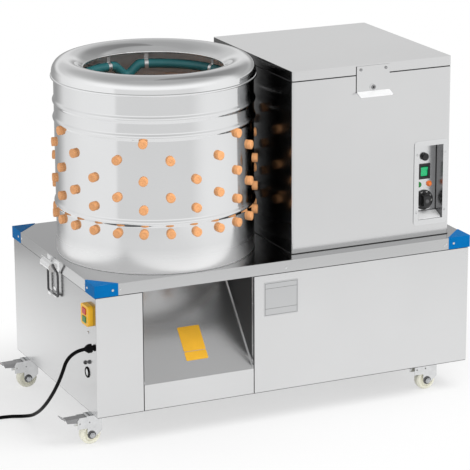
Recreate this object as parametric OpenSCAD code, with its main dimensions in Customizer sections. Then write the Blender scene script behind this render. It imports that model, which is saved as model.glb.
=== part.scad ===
// Poultry plucker with a built-in scalding tank on a wheeled stainless cabinet.
// Millimetres. X runs along the cabinet, -Y is the front, Z is up from the floor.
// Most modules are drawn from the deck's front left corner, and from_corner()
// shifts them so that the origin lies on the floor under the deck's middle.

/* [Deck] */
// Left edge of the deck to the drum wall
left_margin = 19.5; // [10:0.5:60]
// Gap between the drum wall and the tank
tank_gap = 27.5; // [14:0.5:80]
// Tank to the right edge of the deck
right_margin = 41; // [20:1:90]
// Front edge of the deck to the drum wall
front_margin = 11; // [8:1:30]
// Rear edge of the deck to whatever stands furthest back
back_margin = 66; // [40:1:120]
// Height of the deck's folded flange
flange_h = 29.5; // [22:0.5:40]
// Thickness of the deck sheet
deck_sheet = 1.5; // [1.2:0.1:3]

/* [Cabinet] */
// Height from the caster plates to the deck
cabinet_h = 336.5; // [320:0.5:400]
// Thickness of the panels and of the drum and tank sheet
sheet = 1.5; // [1:0.1:2]
// Side of the square frame tube
tube_w = 25; // [20:1:30]
// Wall of the frame tube
tube_t = 2; // [1.5:0.1:3]
// Left edge of the deck to the feather chute
chute_x = 126.5; // [100:0.5:140]
// Width of the feather chute
chute_w = 295.5; // [240:0.5:300]
// Height of the chute's front lip
lip_h = 65.5; // [45:0.5:75]
// Slope of the chute plate in degrees
chute_angle = 49; // [45:1:52]
// Open seam round the front panels and under the deck's flange
seam = 2.5; // [1:0.5:4]

/* [Corner protectors] */
// Length of each protector flap
protector_l = 62; // [45:1:80]
// Thickness of a protector
protector_t = 1.2; // [0.8:0.1:2]

/* [Casters] */
// Overall height of a caster
caster_h = 83; // [80:1:92]
// Wheel diameter
wheel_d = 53; // [44:1:55]
// Wheel width
wheel_w = 22; // [16:1:26]
// Distance from the swivel axis back to the wheel axle
caster_trail = 30; // [26:1:32]
// Swivel axis to the deck's front edge
caster_front = 57; // [45:1:70]
// Swivel axis to the deck's rear edge
caster_back = 70; // [45:1:80]
// Swivel axis to the deck's left edge
caster_left = 31; // [30:1:60]
// Swivel axis to the deck's right edge
caster_right = 63; // [40:1:80]
// Length of a brake pedal
pedal_l = 88; // [70:1:92]

/* [Drum] */
// Outer diameter of the drum wall
drum_d = 500; // [460:1:540]
// Height of the rim's lower edge above the deck
rim_z = 444.5; // [420:0.5:480]
// Diameter of the mouth
mouth_d = 352; // [340:1:380]
// Overhang of the rim beyond the drum wall
rim_out = 5; // [5:0.5:10]
// Radius of the rim's outer crown
crown_r = 34; // [28:1:38]
// Radius of the slope from the crown to the mouth
slope_r = 54; // [50:1:64]
// Radius of a rolled bead in the wall
bead_r = 5; // [3:0.5:6]
// Heights of the beads above the deck
bead_z = [128.5, 343, 386.5];

/* [Plucking fingers] */
// Diameter of a finger's outer stub
finger_d = 18; // [14:0.5:19]
// How far the stub stands out of the wall
finger_out = 9; // [6:0.5:12]
// Length of a finger inside the drum
finger_l = 62; // [50:1:64]
// Heights of the finger rows above the deck
finger_z = [101.5, 162.5, 192.5, 234.5, 284.5, 328];
// Columns skipped between two fingers of each row
finger_step = [1, 2, 2, 2, 2, 4];
// First column of each row
finger_first = [0, 0, 1, 0, 1, 0];
// Number of finger columns round the drum
finger_columns = 24; // [12:4:24]
// Turn of the first column from the -Y direction
finger_turn = -29; // [-45:1:45]
// Radii of the finger rings on the turntable
plate_rings = [60, 115, 168];
// Fingers in each of those rings
plate_counts = [6, 10, 14];

/* [Water spray] */
// Radius of the spray ring
spray_r = 189; // [188:1:200]
// Height of the spray ring above the deck
spray_z = 432; // [415:1:432]
// Outer diameter of the spray hose
hose_d = 22; // [16:1:22]
// Dip of the hose where it hangs loose
hose_dip = 26; // [0:1:30]
// Radius of the water inlet spigot
inlet_r = 8; // [6:0.5:9]
// Length of the spigot outside the drum
inlet_l = 44; // [34:1:55]

/* [Rotor and drive] */
// Running gap between the turntable and the drum wall
plate_gap = 14.5; // [8:0.5:20]
// Thickness of the turntable
plate_t = 4; // [3:0.5:6]
// Height of the turntable's underside above the deck
plate_z = 24; // [18:1:30]
// Radius of the rotor shaft
shaft_r = 12.5; // [10:0.5:15]
// Outer radius of the bearings
bearing_r = 23.5; // [21:0.5:26]
// Width of a bearing
bearing_w = 12; // [10:0.5:15]
// Outer diameter of the driven pulley
big_pulley_d = 200; // [160:1:210]
// Outer diameter of the motor pulley
small_pulley_d = 60; // [50:1:80]
// Distance between the rotor and the motor axis
drive_l = 376; // [340:1:420]
// Width of the drive belt
belt_w = 10; // [8:0.5:13]
// Thickness of the drive belt
belt_t = 7; // [5:0.5:9]
// Diameter of the motor body
motor_d = 150; // [120:1:170]
// Length of the motor body
motor_l = 118; // [100:1:120]
// Radius of the motor shaft
motor_shaft_r = 9.5; // [7:0.5:12]

/* [Tank] */
// Width of the tank
tank_w = 445.5; // [420:0.5:520]
// Depth of the tank
tank_d = 477; // [420:1:520]
// Height of the tank's walls
tank_h = 440; // [430:1:480]
// Front of the tank behind the deck's front edge
tank_setback = 41; // [30:1:60]
// Rounding of the tank's upright edges
tank_edge_r = 5; // [3:0.5:8]
// Width of the scalding tub
tub_w = 316; // [280:1:320]
// Depth of the scalding tub, front to back
tub_d = 446; // [380:1:446]
// Depth of water in the scalding tub
tub_h = 350; // [300:1:380]
// Tub wall to the tank's left and rear walls
tub_margin = 12; // [8:1:16]
// Radius of the heating tube
heater_r = 5; // [4:0.5:6]
// Outer radius of the drain pipe
drain_r = 13.5; // [10:0.5:16]
// Length of the drain pipe behind the tank
drain_l = 34; // [28:1:45]

/* [Lid] */
// Height of the lid
lid_h = 27; // [24:1:40]
// Gap between the lid and the tank
lid_gap = 3; // [0.8:0.1:3]
// Width of the lid's pull plate
pull_w = 92; // [70:1:110]
// How far the pull plate hangs below the lid's top
pull_h = 67; // [50:1:80]
// How far the pull lip flares forward
pull_flare = 22; // [12:1:28]
// Width of a hinge
hinge_w = 60; // [40:1:80]
// Radius of a hinge knuckle
knuckle_r = 5; // [4:0.5:6]

/* [Controls] */
// Width of the control recess
recess_w = 70; // [66:1:80]
// Height of the control recess
recess_h = 194; // [185:1:200]
// Depth of the control recess
recess_depth = 35; // [30:1:40]
// Recess to the tank's right wall
recess_margin = 18.5; // [14:0.5:25]
// Height of the recess above the deck
recess_z = 46; // [35:1:60]
// Rise of the recess floor towards its back
recess_rise = 13; // [6:1:16]
// Width of the bezel round the recess
bezel_w = 13.5; // [11:0.5:14]
// Radius of the thermostat knob's skirt
knob_r = 26; // [20:1:28]
// Radius of the knob's grip
grip_r = 17; // [12:1:18]
// Width of the rocker switch frame
rocker_w = 33; // [28:1:36]
// Height of the rocker switch frame
rocker_h = 40; // [36:1:42]
// Radius of the reset button
reset_r = 10; // [8:0.5:11]
// Radius of a pilot lamp
lamp_r = 6; // [5:0.5:7]

/* [Left side] */
// Width of the start and stop switch
switch_w = 48; // [44:1:49]
// Height of the start and stop switch
switch_h = 52; // [50:1:60]
// How far the switch frame stands out
switch_out = 13; // [8:0.5:15]
// Switch centre behind the deck's front edge
switch_y = 43; // [43:1:60]
// Switch centre above the floor
switch_z = 338; // [328:1:342]
// Cable gland behind the deck's front edge
gland_y = 13.5; // [13:0.5:16]
// Cable gland above the floor
gland_z = 261; // [255:0.5:267]
// Middle of the toggle latch behind the deck's front edge
latch_y = 277; // [220:1:320]
// Width of the latch bail between its legs
bail_w = 70; // [60:1:80]
// Length of the latch bail
bail_l = 84; // [78:1:88]
// Radius of the bail wire
wire_r = 3; // [2:0.1:3.2]

/* [Power cord] */
// Diameter of the power cord
cord_d = 9; // [7:0.5:9]
// Loops in each layer of the coil
coil_turns = 2; // [1:1:3]
// Radius of the coil at mid-turn
coil_r = 52; // [48:1:58]

/* [Hidden] */
$fn = 96;

// Clearance of moving faces, of running fits and of seated sheet parts
gap = 0.3;
fit = 0.05;
seat = 0.2;

// Overall sizes that follow from the pieces on the deck
drum_r = drum_d / 2;
drum_x = left_margin + drum_r;
drum_y = front_margin + drum_r;
tank_x = left_margin + drum_d + tank_gap;
tank_back = tank_setback + tank_d;
deck_l = tank_x + tank_w + right_margin;
deck_d = max(front_margin + drum_d, tank_back) + back_margin;
deck_z = caster_h + cabinet_h;
under_deck = deck_z - deck_sheet;
panel_in = deck_sheet + seat;
frame_in = panel_in + sheet;

module from_corner() {
    translate([-deck_l / 2, -deck_d / 2, 0]) children();
}

// Block from one corner to the opposite one
module span(low, high) {
    translate(low) cube(high - low);
}

// Profile in the YZ plane, drawn out along +X
module along_x(x, length) {
    translate([x, 0, 0]) rotate([90, 0, 90]) linear_extrude(length) children();
}

// Profile in the XZ plane, drawn out along +Y
module along_y(y, length) {
    translate([0, y + length, 0]) rotate([90, 0, 0]) linear_extrude(length) children();
}

module rounded_square(size, r) {
    translate([r, 0]) square([size[0] - 2 * r, size[1]]);
    translate([0, r]) square([size[0], size[1] - 2 * r]);
    for (x = [r, size[0] - r], y = [r, size[1] - r])
        translate([x, y]) circle(r);
}

// Low round head that stands on a face, axis along +Z
module button_head(r, h) {
    rotate_extrude() polygon([[0, 0], [r, 0], [r, h * 0.4], [r * 0.6, h], [0, h]]);
}

module facing_left(y, z, x) {
    translate([x, y, z]) rotate([0, -90, 0]) children();
}

module facing_front(x, z, y) {
    translate([x, y, z]) rotate([90, 0, 0]) children();
}

// Cabinet frame
motor_x = drum_x + drive_l;
motor_y = drum_y;
motor_foot = 75;
gusset_t = 3;
gusset_w = 112;
rail_z = caster_h;
rail_top = rail_z + tube_w;
vent_w = 90;
vent_h = 5;
vent_pitch = 14;

module frame_tube(low, high, axis) {
    wall = [for (i = [0:2]) i == axis ? -1 : tube_t];
    difference() {
        span(low, high);
        span(low + wall, high - wall);
    }
}

module base_frame() {
    right = deck_l - frame_in;
    back = deck_d - frame_in;
    color("silver") from_corner() difference() {
        union() {
            for (y = [frame_in, back - tube_w])
                frame_tube([frame_in, y, rail_z], [right, y + tube_w, rail_top], 0);
            for (x = [frame_in, right - tube_w])
                frame_tube([x, frame_in + tube_w, rail_z], [x + tube_w, back - tube_w, rail_top], 1);
            for (x = [motor_x - motor_foot, motor_x + motor_foot - tube_w])
                frame_tube([x, frame_in + tube_w, rail_z], [x + tube_w, back - tube_w, rail_top], 1);
            for (x = [frame_in, right - tube_w], y = [frame_in, back - tube_w])
                frame_tube([x, y, rail_top], [x + tube_w, y + tube_w, under_deck], 2);
            for (x = [frame_in + tube_w, right - gusset_w], y = [frame_in + tube_w, back - gusset_w])
                span([x, y, rail_z], [x + gusset_w - tube_w, y + gusset_w - tube_w, rail_z + gusset_t]);
        }
        facing_left(gland_y, gland_z, frame_in + tube_w + 1) cylinder(r = gland_r + 1, h = tube_w + 2);
    }
}

// Cabinet panels
panel_z = caster_h;
panel_top = deck_z - flange_h - seam;
return_w = 14;
switch_hole = [switch_w - 20, switch_h - 14];
gland_r = 6.5;
switch_mid = max(switch_y, frame_in + tube_w + switch_hole[0] / 2 + 0.5);

module left_panel() {
    color("gainsboro") from_corner() difference() {
        span([panel_in, panel_in, panel_z], [frame_in, deck_d - panel_in, panel_top]);
        translate([0, switch_mid - switch_hole[0] / 2, switch_z - switch_hole[1] / 2])
            cube([2 * frame_in, switch_hole[0], switch_hole[1]]);
        facing_left(gland_y, gland_z, 2 * frame_in) cylinder(r = gland_r + seat, h = 2 * frame_in);
    }
}

module right_panel() {
    color("gainsboro") from_corner()
        span([deck_l - frame_in, panel_in, panel_z], [deck_l - panel_in, deck_d - panel_in, panel_top]);
}

module back_panel() {
    vents = floor((cabinet_h - 2 * 80) / vent_pitch);
    color("gainsboro") from_corner() difference() {
        span([frame_in, deck_d - frame_in, panel_z], [deck_l - frame_in, deck_d - panel_in, panel_top]);
        for (side = [-1, 1], i = [0:vents - 1])
            translate([motor_x + side * vent_w * 0.6 - vent_w / 2, deck_d - 20, panel_z + 80 + i * vent_pitch])
                cube([vent_w, 40, vent_h]);
    }
}

module front_left_panel() {
    right = chute_x - seam;
    color("gainsboro") from_corner() {
        span([frame_in, panel_in, panel_z], [right, frame_in, panel_top]);
        span([right - sheet, panel_in, rail_top], [right, frame_in + return_w, panel_top]);
    }
}

module front_right_panel() {
    left = chute_x + chute_w + seam;
    color("gainsboro") from_corner() {
        span([left, panel_in, panel_z], [deck_l - frame_in, frame_in, panel_top]);
        span([left, panel_in, rail_top], [left + sheet, frame_in + return_w, panel_top]);
    }
}

// Feather chute: front lip, steep plate, then a shallow plate under the drum
bridge_w = 60;
bridge_t = 8;
bridge_l = drum_d + 4;
housing_wall = 6;
housing_r = bearing_r + housing_wall;
housing_l = 80;
lip_z = caster_h + lip_h;
chute_bend_z = under_deck - 55;
chute_bend_y = panel_in + (chute_bend_z - lip_z) / tan(chute_angle);
chute_back = drum_y + drum_r;
chute_back_z = under_deck - bridge_t - 4;
chute_normal = sheet / cos(chute_angle);
chute_edge = 8;

module chute_plate_profile() {
    polygon([
        [panel_in, panel_z], [panel_in, lip_z], [chute_bend_y, chute_bend_z], [chute_back, chute_back_z],
        [chute_back, chute_back_z - sheet], [chute_bend_y + sheet, chute_bend_z - sheet],
        [frame_in, lip_z - chute_normal + sheet * tan(chute_angle)], [frame_in, panel_z]
    ]);
}

// Turned-up edge along each side of the plate
module chute_edge_profile() {
    front_z = lip_z + sheet * tan(chute_angle);
    polygon([
        [frame_in, front_z], [chute_bend_y, chute_bend_z], [chute_back, chute_back_z],
        [chute_back, chute_back_z + chute_edge], [chute_bend_y, chute_bend_z + chute_edge],
        [frame_in, front_z + chute_edge]
    ]);
}

module chute() {
    color("silver") from_corner() difference() {
        union() {
            along_x(chute_x, chute_w) chute_plate_profile();
            along_x(chute_x, sheet) chute_edge_profile();
            along_x(chute_x + chute_w - sheet, sheet) chute_edge_profile();
        }
        translate([drum_x, drum_y, caster_h]) cylinder(r = housing_r + 3, h = cabinet_h);
        span(
            [0, drum_y - bridge_w / 2 - 1, under_deck - bridge_t - 1],
            [deck_l, drum_y + bridge_w / 2 + 1, deck_z]
        );
    }
}

// Deck with its folded flange, open under the drum and under the tank
deck_hole_r = drum_r - 12;
tank_hole_margin = 60;

module deck() {
    color("darkgray") from_corner() difference() {
        span([0, 0, deck_z - flange_h], [deck_l, deck_d, deck_z]);
        span([deck_sheet, deck_sheet, 0], [deck_l - deck_sheet, deck_d - deck_sheet, under_deck]);
        translate([drum_x, drum_y, 0]) cylinder(r = deck_hole_r, h = 2 * deck_z);
        span(
            [tank_x + tank_hole_margin, tank_setback + tank_hole_margin, 0],
            [tank_x + tank_w - tank_hole_margin, tank_back - tank_hole_margin, 2 * deck_z]
        );
    }
}

// Blue corner protectors: a triangle on the deck and a flap down each side
module each_corner() {
    for (i = [0, 1], j = [0, 1])
        translate([i * deck_l, j * deck_d, 0]) mirror([i, 0, 0]) mirror([0, j, 0]) children();
}

module corner_protectors() {
    t = protector_t;
    color("dodgerblue") from_corner() each_corner() difference() {
        union() {
            translate([-t, -t, deck_z - flange_h]) cube([protector_l, t, flange_h]);
            translate([-t, -t, deck_z - flange_h]) cube([t, protector_l, flange_h]);
            translate([-t, -t, deck_z]) linear_extrude(t)
                polygon([[0, 0], [protector_l, 0], [protector_l, 4], [4, protector_l], [0, protector_l]]);
        }
        translate([drum_x, drum_y, 0]) cylinder(r = drum_r + seat, h = 2 * deck_z);
    }
}

// Rivets and screws
flange_screw_x = [tank_x - 36, deck_l - 72];
rivet_r = 3;
screw_r = 3.5;
head_h = 1.6;
earth_bolts = [[76, 204], [48, 214], [55, 287.5]];

module fasteners() {
    z = deck_z - flange_h / 2;
    recess_left = tank_x + tank_w - recess_margin - recess_w;
    chute_mid = chute_x + chute_w / 2;
    color("silver") from_corner() {
        each_corner() {
            for (part = [[protector_l * 0.75, -protector_t], [protector_l + 5, 0]]) {
                facing_left(part[0], z, part[1]) button_head(rivet_r, head_h);
                facing_front(part[0], z, part[1]) button_head(rivet_r, head_h);
            }
        }
        for (x = flange_screw_x) {
            facing_front(x, deck_z - flange_h * 0.62, 0) button_head(rivet_r, head_h);
            translate([x, deck_d, deck_z - flange_h * 0.62]) rotate([-90, 0, 0]) button_head(rivet_r, head_h);
        }
        for (bolt = earth_bolts)
            facing_left(bolt[0], bolt[1], panel_in) button_head(screw_r, 3);
        for (dz = [60, 170], side = [-1, 1])
            translate([chute_mid + side * (chute_w / 2 + seam), frame_in + return_w / 2, lip_z + dz])
                rotate([0, -side * 90, 0]) button_head(rivet_r, head_h);
        for (x = [-bezel_w / 2 + 1, recess_w + bezel_w / 2 - 1], dz = [0.11, 0.89])
            facing_front(recess_left + x, deck_z + recess_z + dz * recess_h, tank_setback - bezel_t)
                button_head(rivet_r, head_h);
    }
}

// Drum wall with rolled beads and a hole for every finger
rim_crown_x = drum_r + rim_out - crown_r;
rim_crown_z = deck_z + rim_z + 11.5;
shell_top = rim_crown_z + sqrt(pow(crown_r - sheet, 2) - pow(drum_r - rim_crown_x, 2)) - 2 * seat;
finger_neck_r = finger_d / 2 - 2;
finger_flange_r = finger_d / 2 + 1;
wall_dip = drum_r - sheet - sqrt(pow(drum_r - sheet, 2) - pow(finger_flange_r, 2)) + 0.15;
inlet_turn = 125;

module bead_section(r) {
    for (z = bead_z)
        translate([drum_r - 1, deck_z + z]) circle(r);
}

module wall_section() {
    difference() {
        translate([drum_r - sheet, deck_z]) square([sheet, shell_top - deck_z]);
        bead_section(bead_r - sheet);
    }
    intersection() {
        difference() {
            bead_section(bead_r);
            bead_section(bead_r - sheet);
        }
        translate([drum_r - sheet, deck_z]) square([20, shell_top - deck_z]);
    }
}

// Puts its child at every finger place, with +X pointing out of the drum
module at_drum_fingers() {
    for (row = [0:len(finger_z) - 1], i = [0:finger_step[row]:finger_columns - 1])
        translate([0, 0, deck_z + finger_z[row]])
            rotate([0, 0, -90 + finger_turn + (i + finger_first[row]) * 360 / finger_columns])
                children();
}

module drum_shell() {
    color("lightgray") from_corner() translate([drum_x, drum_y, 0]) difference() {
        rotate_extrude() wall_section();
        at_drum_fingers()
            translate([drum_r - 20, 0, 0]) rotate([0, 90, 0]) cylinder(r = finger_neck_r + fit, h = 40);
        rotate([0, 0, inlet_turn]) translate([drum_r - 20, 0, deck_z + spray_z]) rotate([0, 90, 0])
            cylinder(r = inlet_r + seat, h = 40);
    }
}

// Rim: outer lip, crown, slope and rolled mouth
roll_r = 3;
lip_roll_r = 2.2;

module rim_section() {
    lip_x = drum_r + rim_out;
    translate([lip_x - sheet, deck_z + rim_z]) square([sheet, rim_crown_z - deck_z - rim_z]);
    translate([lip_x - lip_roll_r, deck_z + rim_z + lip_roll_r]) circle(lip_roll_r);
    intersection() {
        translate([rim_crown_x, rim_crown_z]) difference() {
            circle(crown_r);
            circle(crown_r - sheet);
        }
        translate([rim_crown_x, rim_crown_z]) square(2 * crown_r);
    }
    intersection() {
        translate([rim_crown_x, rim_crown_z + crown_r - slope_r]) difference() {
            circle(slope_r);
            circle(slope_r - sheet);
        }
        translate([mouth_d / 2, rim_crown_z - crown_r]) square([rim_crown_x - mouth_d / 2, 3 * crown_r]);
    }
    translate([mouth_d / 2 + roll_r / 2, mouth_z - roll_r / 2]) circle(roll_r);
}

mouth_z = rim_crown_z + crown_r - slope_r + sqrt(pow(slope_r, 2) - pow(rim_crown_x - mouth_d / 2, 2));

module drum_rim() {
    color("lightgray") from_corner() translate([drum_x, drum_y, 0]) rotate_extrude() rim_section();
}

// Rubber finger along +X: outer stub, neck in the sheet, inner flange, ringed body
module finger(wall, dip) {
    r = finger_d / 2;
    tip_r = 5;
    rotate([0, 90, 0]) rotate_extrude() polygon([
        [0, finger_out + wall / 2], [r - 1.5, finger_out + wall / 2], [r, finger_out - 1.5 + wall / 2],
        [r, wall / 2], [finger_neck_r, wall / 2], [finger_neck_r, -wall / 2 - dip],
        [finger_flange_r, -wall / 2 - dip], [finger_flange_r, -4], [r - 1, -7], [r - 1.5, -18], [r - 2.5, -20],
        [r - 2, -30], [r - 3, -32], [tip_r, -finger_l + 3], [tip_r - 2.5, -finger_l], [0, -finger_l]
    ]);
}

module drum_fingers() {
    color("sandybrown") from_corner() translate([drum_x, drum_y, 0])
        at_drum_fingers() translate([drum_r - sheet / 2, 0, 0]) finger(sheet, wall_dip);
}

// Spray hose: a ring that follows the rim, with one slack stretch
hose_r = hose_d / 2;
hose_rings = 72;
hose_sides = 8;
hose_gap_turn = 6;
slack_turn = 89;
slack_half = 12;

function hose_drop(a) =
    let (off = abs(a - slack_turn) / slack_half)
    off < 1 ? hose_dip * (1 + cos(180 * off)) / 2 : 0;

function hose_point(a) = [
    spray_r * cos(a),
    spray_r * sin(a),
    deck_z + spray_z - hose_drop(a)
];

module spray_hose() {
    first = inlet_turn + 20 + hose_gap_turn;
    points = [
        for (i = [0:hose_rings])
            hose_point((first + i * (360 - 2 * hose_gap_turn) / hose_rings) % 360)
    ];
    color("teal") from_corner() translate([drum_x, drum_y, 0]) tube_along(points, hose_r, hose_sides);
}

// P-clips that hang the hose from the rim
clip_turns = [15, 73, 105, 163, 223, 283, 343];
clip_w = 10;
clip_t = 1.5;

module spray_clips() {
    inside = slope_r - sheet - seat;
    top = rim_crown_z + crown_r - slope_r
        + sqrt(pow(inside, 2) - pow(rim_crown_x - spray_r + clip_t, 2));
    color("silver") from_corner() translate([drum_x, drum_y, 0]) for (a = clip_turns)
        rotate([0, 0, a]) translate([spray_r, clip_w / 2, deck_z + spray_z]) rotate([90, 0, 0])
            linear_extrude(clip_w) difference() {
                union() {
                    circle(hose_r + gap + clip_t);
                    translate([-clip_t, 0]) square([2 * clip_t, top - deck_z - spray_z]);
                }
                circle(hose_r + gap);
            }
}

// Water inlet: spigot through the drum wall at the back, with a hexagon nut
inlet_nut_h = 9;

module water_inlet() {
    start = spray_r + hose_r + gap;
    color("goldenrod") from_corner() translate([drum_x, drum_y, deck_z + spray_z])
        rotate([0, 0, inlet_turn]) rotate([0, 90, 0]) difference() {
            union() {
                translate([0, 0, start]) cylinder(r = inlet_r, h = drum_r + inlet_l - start);
                translate([0, 0, drum_r]) rotate([0, 0, 30]) cylinder(r = inlet_r + 3.5, h = inlet_nut_h, $fn = 6);
            }
            translate([0, 0, start - 1]) cylinder(r = inlet_r - 2.5, h = drum_d);
        }
}

// Bearing bridge under the drum, hung from the deck, with its welded housing
housing_top = under_deck;
housing_bottom = housing_top - housing_l;

module bearing_bridge() {
    color("dimgray") from_corner() translate([drum_x, drum_y, 0]) difference() {
        union() {
            translate([-bridge_l / 2, -bridge_w / 2, under_deck - bridge_t]) cube([bridge_l, bridge_w, bridge_t]);
            translate([0, 0, housing_bottom]) cylinder(r = housing_r, h = housing_l);
        }
        translate([0, 0, housing_bottom - 1]) cylinder(r = shaft_r + 5, h = housing_l + 2);
        translate([0, 0, housing_bottom - 1]) cylinder(r = bearing_r, h = bearing_w + 1);
        translate([0, 0, housing_top - bearing_w]) cylinder(r = bearing_r, h = bearing_w + 1);
    }
}

module bearings() {
    groove = (bearing_r - shaft_r) * 0.3;
    color("gray") from_corner() translate([drum_x, drum_y, 0])
        for (z = [housing_bottom, housing_top - bearing_w]) translate([0, 0, z]) difference() {
            cylinder(r = bearing_r - fit, h = bearing_w);
            translate([0, 0, -1]) cylinder(r = shaft_r + fit, h = bearing_w + 2);
            for (face = [-1, bearing_w - 1]) translate([0, 0, face]) difference() {
                cylinder(r = bearing_r - groove, h = 2);
                translate([0, 0, -1]) cylinder(r = shaft_r + groove, h = 4);
            }
        }
}

// Turntable, its fingers and the rotor shaft
plate_r = drum_r - sheet - plate_gap;
hub_r = 40;
hub_h = 12;
cap_r = 34;

module at_plate_fingers() {
    for (ring = [0:len(plate_rings) - 1], i = [0:plate_counts[ring] - 1])
        rotate([0, 0, i * 360 / plate_counts[ring]])
            translate([plate_rings[ring], 0, deck_z + plate_z]) children();
}

module turntable() {
    color("lightgray") from_corner() translate([drum_x, drum_y, 0]) difference() {
        rotate_extrude() polygon([
            [0, deck_z + plate_z - hub_h], [hub_r, deck_z + plate_z - hub_h], [hub_r, deck_z + plate_z],
            [plate_r, deck_z + plate_z], [plate_r, deck_z + plate_z + plate_t],
            [cap_r, deck_z + plate_z + plate_t], [cap_r - 8, deck_z + plate_z + plate_t + 7],
            [0, deck_z + plate_z + plate_t + 9]
        ]);
        translate([0, 0, deck_z]) cylinder(r = shaft_r + fit, h = plate_z);
        at_plate_fingers() translate([0, 0, -20]) cylinder(r = finger_neck_r + fit, h = 40);
    }
}

module turntable_fingers() {
    color("sandybrown") from_corner() translate([drum_x, drum_y, 0]) at_plate_fingers()
        translate([0, 0, plate_t / 2]) rotate([0, 90, 0]) finger(plate_t, 0.02);
}

pulley_z = caster_h + 182;
pulley_h = belt_w + 10;
collar_h = 6;

module rotor_shaft() {
    top = deck_z + plate_z;
    color("gray") from_corner() translate([drum_x, drum_y, 0]) {
        translate([0, 0, pulley_z - pulley_h]) cylinder(r = shaft_r, h = top - pulley_z + pulley_h);
        translate([0, 0, housing_top + seat]) cylinder(r = shaft_r + 4, h = collar_h);
    }
}

// Grooved pulley with its groove around the middle, axis along Z
groove_depth = belt_t + 2;

module pulley(r, bore_r, web) {
    half = pulley_h / 2;
    rim = groove_depth + 5;
    difference() {
        rotate_extrude() polygon([
            [bore_r, -half], [r, -half], [r, -half + 2], [r - groove_depth, -belt_w / 2 - gap],
            [r - groove_depth, belt_w / 2 + gap], [r, half - 2], [r, half], [bore_r, half]
        ]);
        if (web) for (i = [0:5])
            rotate([0, 0, i * 60]) translate([(r - rim + bore_r + 12) / 2, 0, -pulley_h])
                cylinder(r = (r - rim - bore_r - 12) / 2 - 4, h = 2 * pulley_h);
    }
}

module driven_pulley() {
    color("gray") from_corner() translate([drum_x, drum_y, pulley_z])
        pulley(big_pulley_d / 2, shaft_r + fit, true);
}

// Drive belt: one flat loop round both pulleys
module belt_loop(grow) {
    seat_r = -groove_depth + 1 + gap + grow;
    hull() {
        circle(big_pulley_d / 2 + seat_r);
        translate([drive_l, 0]) circle(small_pulley_d / 2 + seat_r);
    }
}

module drive_belt() {
    color("black") from_corner() translate([drum_x, drum_y, pulley_z - belt_w / 2]) linear_extrude(belt_w)
        difference() {
            belt_loop(belt_t);
            belt_loop(0);
        }
}

// Motor hung under its mount, shaft upwards
mount_t = 6;
mount_z = pulley_z - pulley_h / 2 - 20;
mount_w = 2 * motor_foot;
leg_w = 30;
leg_t = 4;

module motor() {
    r = motor_d / 2;
    top = mount_z - mount_t;
    color("slategray") from_corner() translate([motor_x, motor_y, 0]) difference() {
        union() {
            translate([0, 0, top - motor_l]) cylinder(r = r - 6, h = motor_l);
            translate([0, 0, top - 14]) cylinder(r = r, h = 14);
            for (i = [0:5])
                translate([0, 0, top - 26 - i * 11]) cylinder(r = r - 2, h = 5);
            translate([r - 12, -28, top - 92]) cube([26, 56, 60]);
        }
        translate([0, 0, top - motor_l - 1]) cylinder(r = motor_shaft_r + gap, h = motor_l + 2);
    }
}

module motor_mount() {
    color("dimgray") from_corner() translate([motor_x, motor_y, 0]) difference() {
        union() {
            translate([-motor_foot, -motor_foot - 20, mount_z - mount_t]) cube([mount_w, mount_w + 40, mount_t]);
            for (x = [-motor_foot, motor_foot - leg_w], y = [-motor_foot - 20, motor_foot + 20 - leg_t])
                translate([x, y, rail_top]) cube([leg_w, leg_t, mount_z - mount_t - rail_top]);
        }
        translate([0, 0, mount_z - 2 * mount_t]) cylinder(r = motor_shaft_r + 8, h = 3 * mount_t);
    }
}

module motor_pulley() {
    bottom = mount_z - mount_t - motor_l;
    color("gray") from_corner() translate([motor_x, motor_y, 0]) {
        translate([0, 0, pulley_z]) pulley(small_pulley_d / 2, motor_shaft_r - 1, false);
        translate([0, 0, bottom]) cylinder(r = motor_shaft_r, h = pulley_z + pulley_h / 2 - bottom);
    }
}

// Scalding tank: outer shell with the cut-out for the control recess
tank_top = deck_z + tank_h;
recess_x = tank_x + tank_w - recess_margin - recess_w;
recess_bottom = deck_z + recess_z;
pocket_t = 1.2;
bezel_t = 1.5;
drain_x = tank_x + tub_margin + sheet + tub_w / 2;
drain_z = deck_z + tank_h - tub_h + 26;

module tank_shell() {
    color("gainsboro") from_corner() difference() {
        translate([tank_x, tank_setback, deck_z]) linear_extrude(tank_h)
            rounded_square([tank_w, tank_d], tank_edge_r);
        translate([tank_x + sheet, tank_setback + sheet, 0]) linear_extrude(2 * deck_z + tank_h)
            rounded_square([tank_w - 2 * sheet, tank_d - 2 * sheet], tank_edge_r - sheet);
        span(
            [recess_x - pocket_t - seat, 0, recess_bottom - pocket_t - seat],
            [recess_x + recess_w + pocket_t + seat, 2 * tank_setback, recess_bottom + recess_h + pocket_t + seat]
        );
        translate([drain_x, tank_back - 20, drain_z]) rotate([-90, 0, 0]) cylinder(r = drain_r + seat, h = 40);
    }
}

// Scalding tub with the top plate that carries it, and its drain pipe
drain_nut = 8;
heater_z = tank_top - tub_h + 64;
heater_reach = 250;
heater_pitch = 44;
heater_rows = [-3, -1, 1, 3];
tub_x = tank_x + tub_margin;
tub_back = tank_back - tub_margin;

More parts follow.
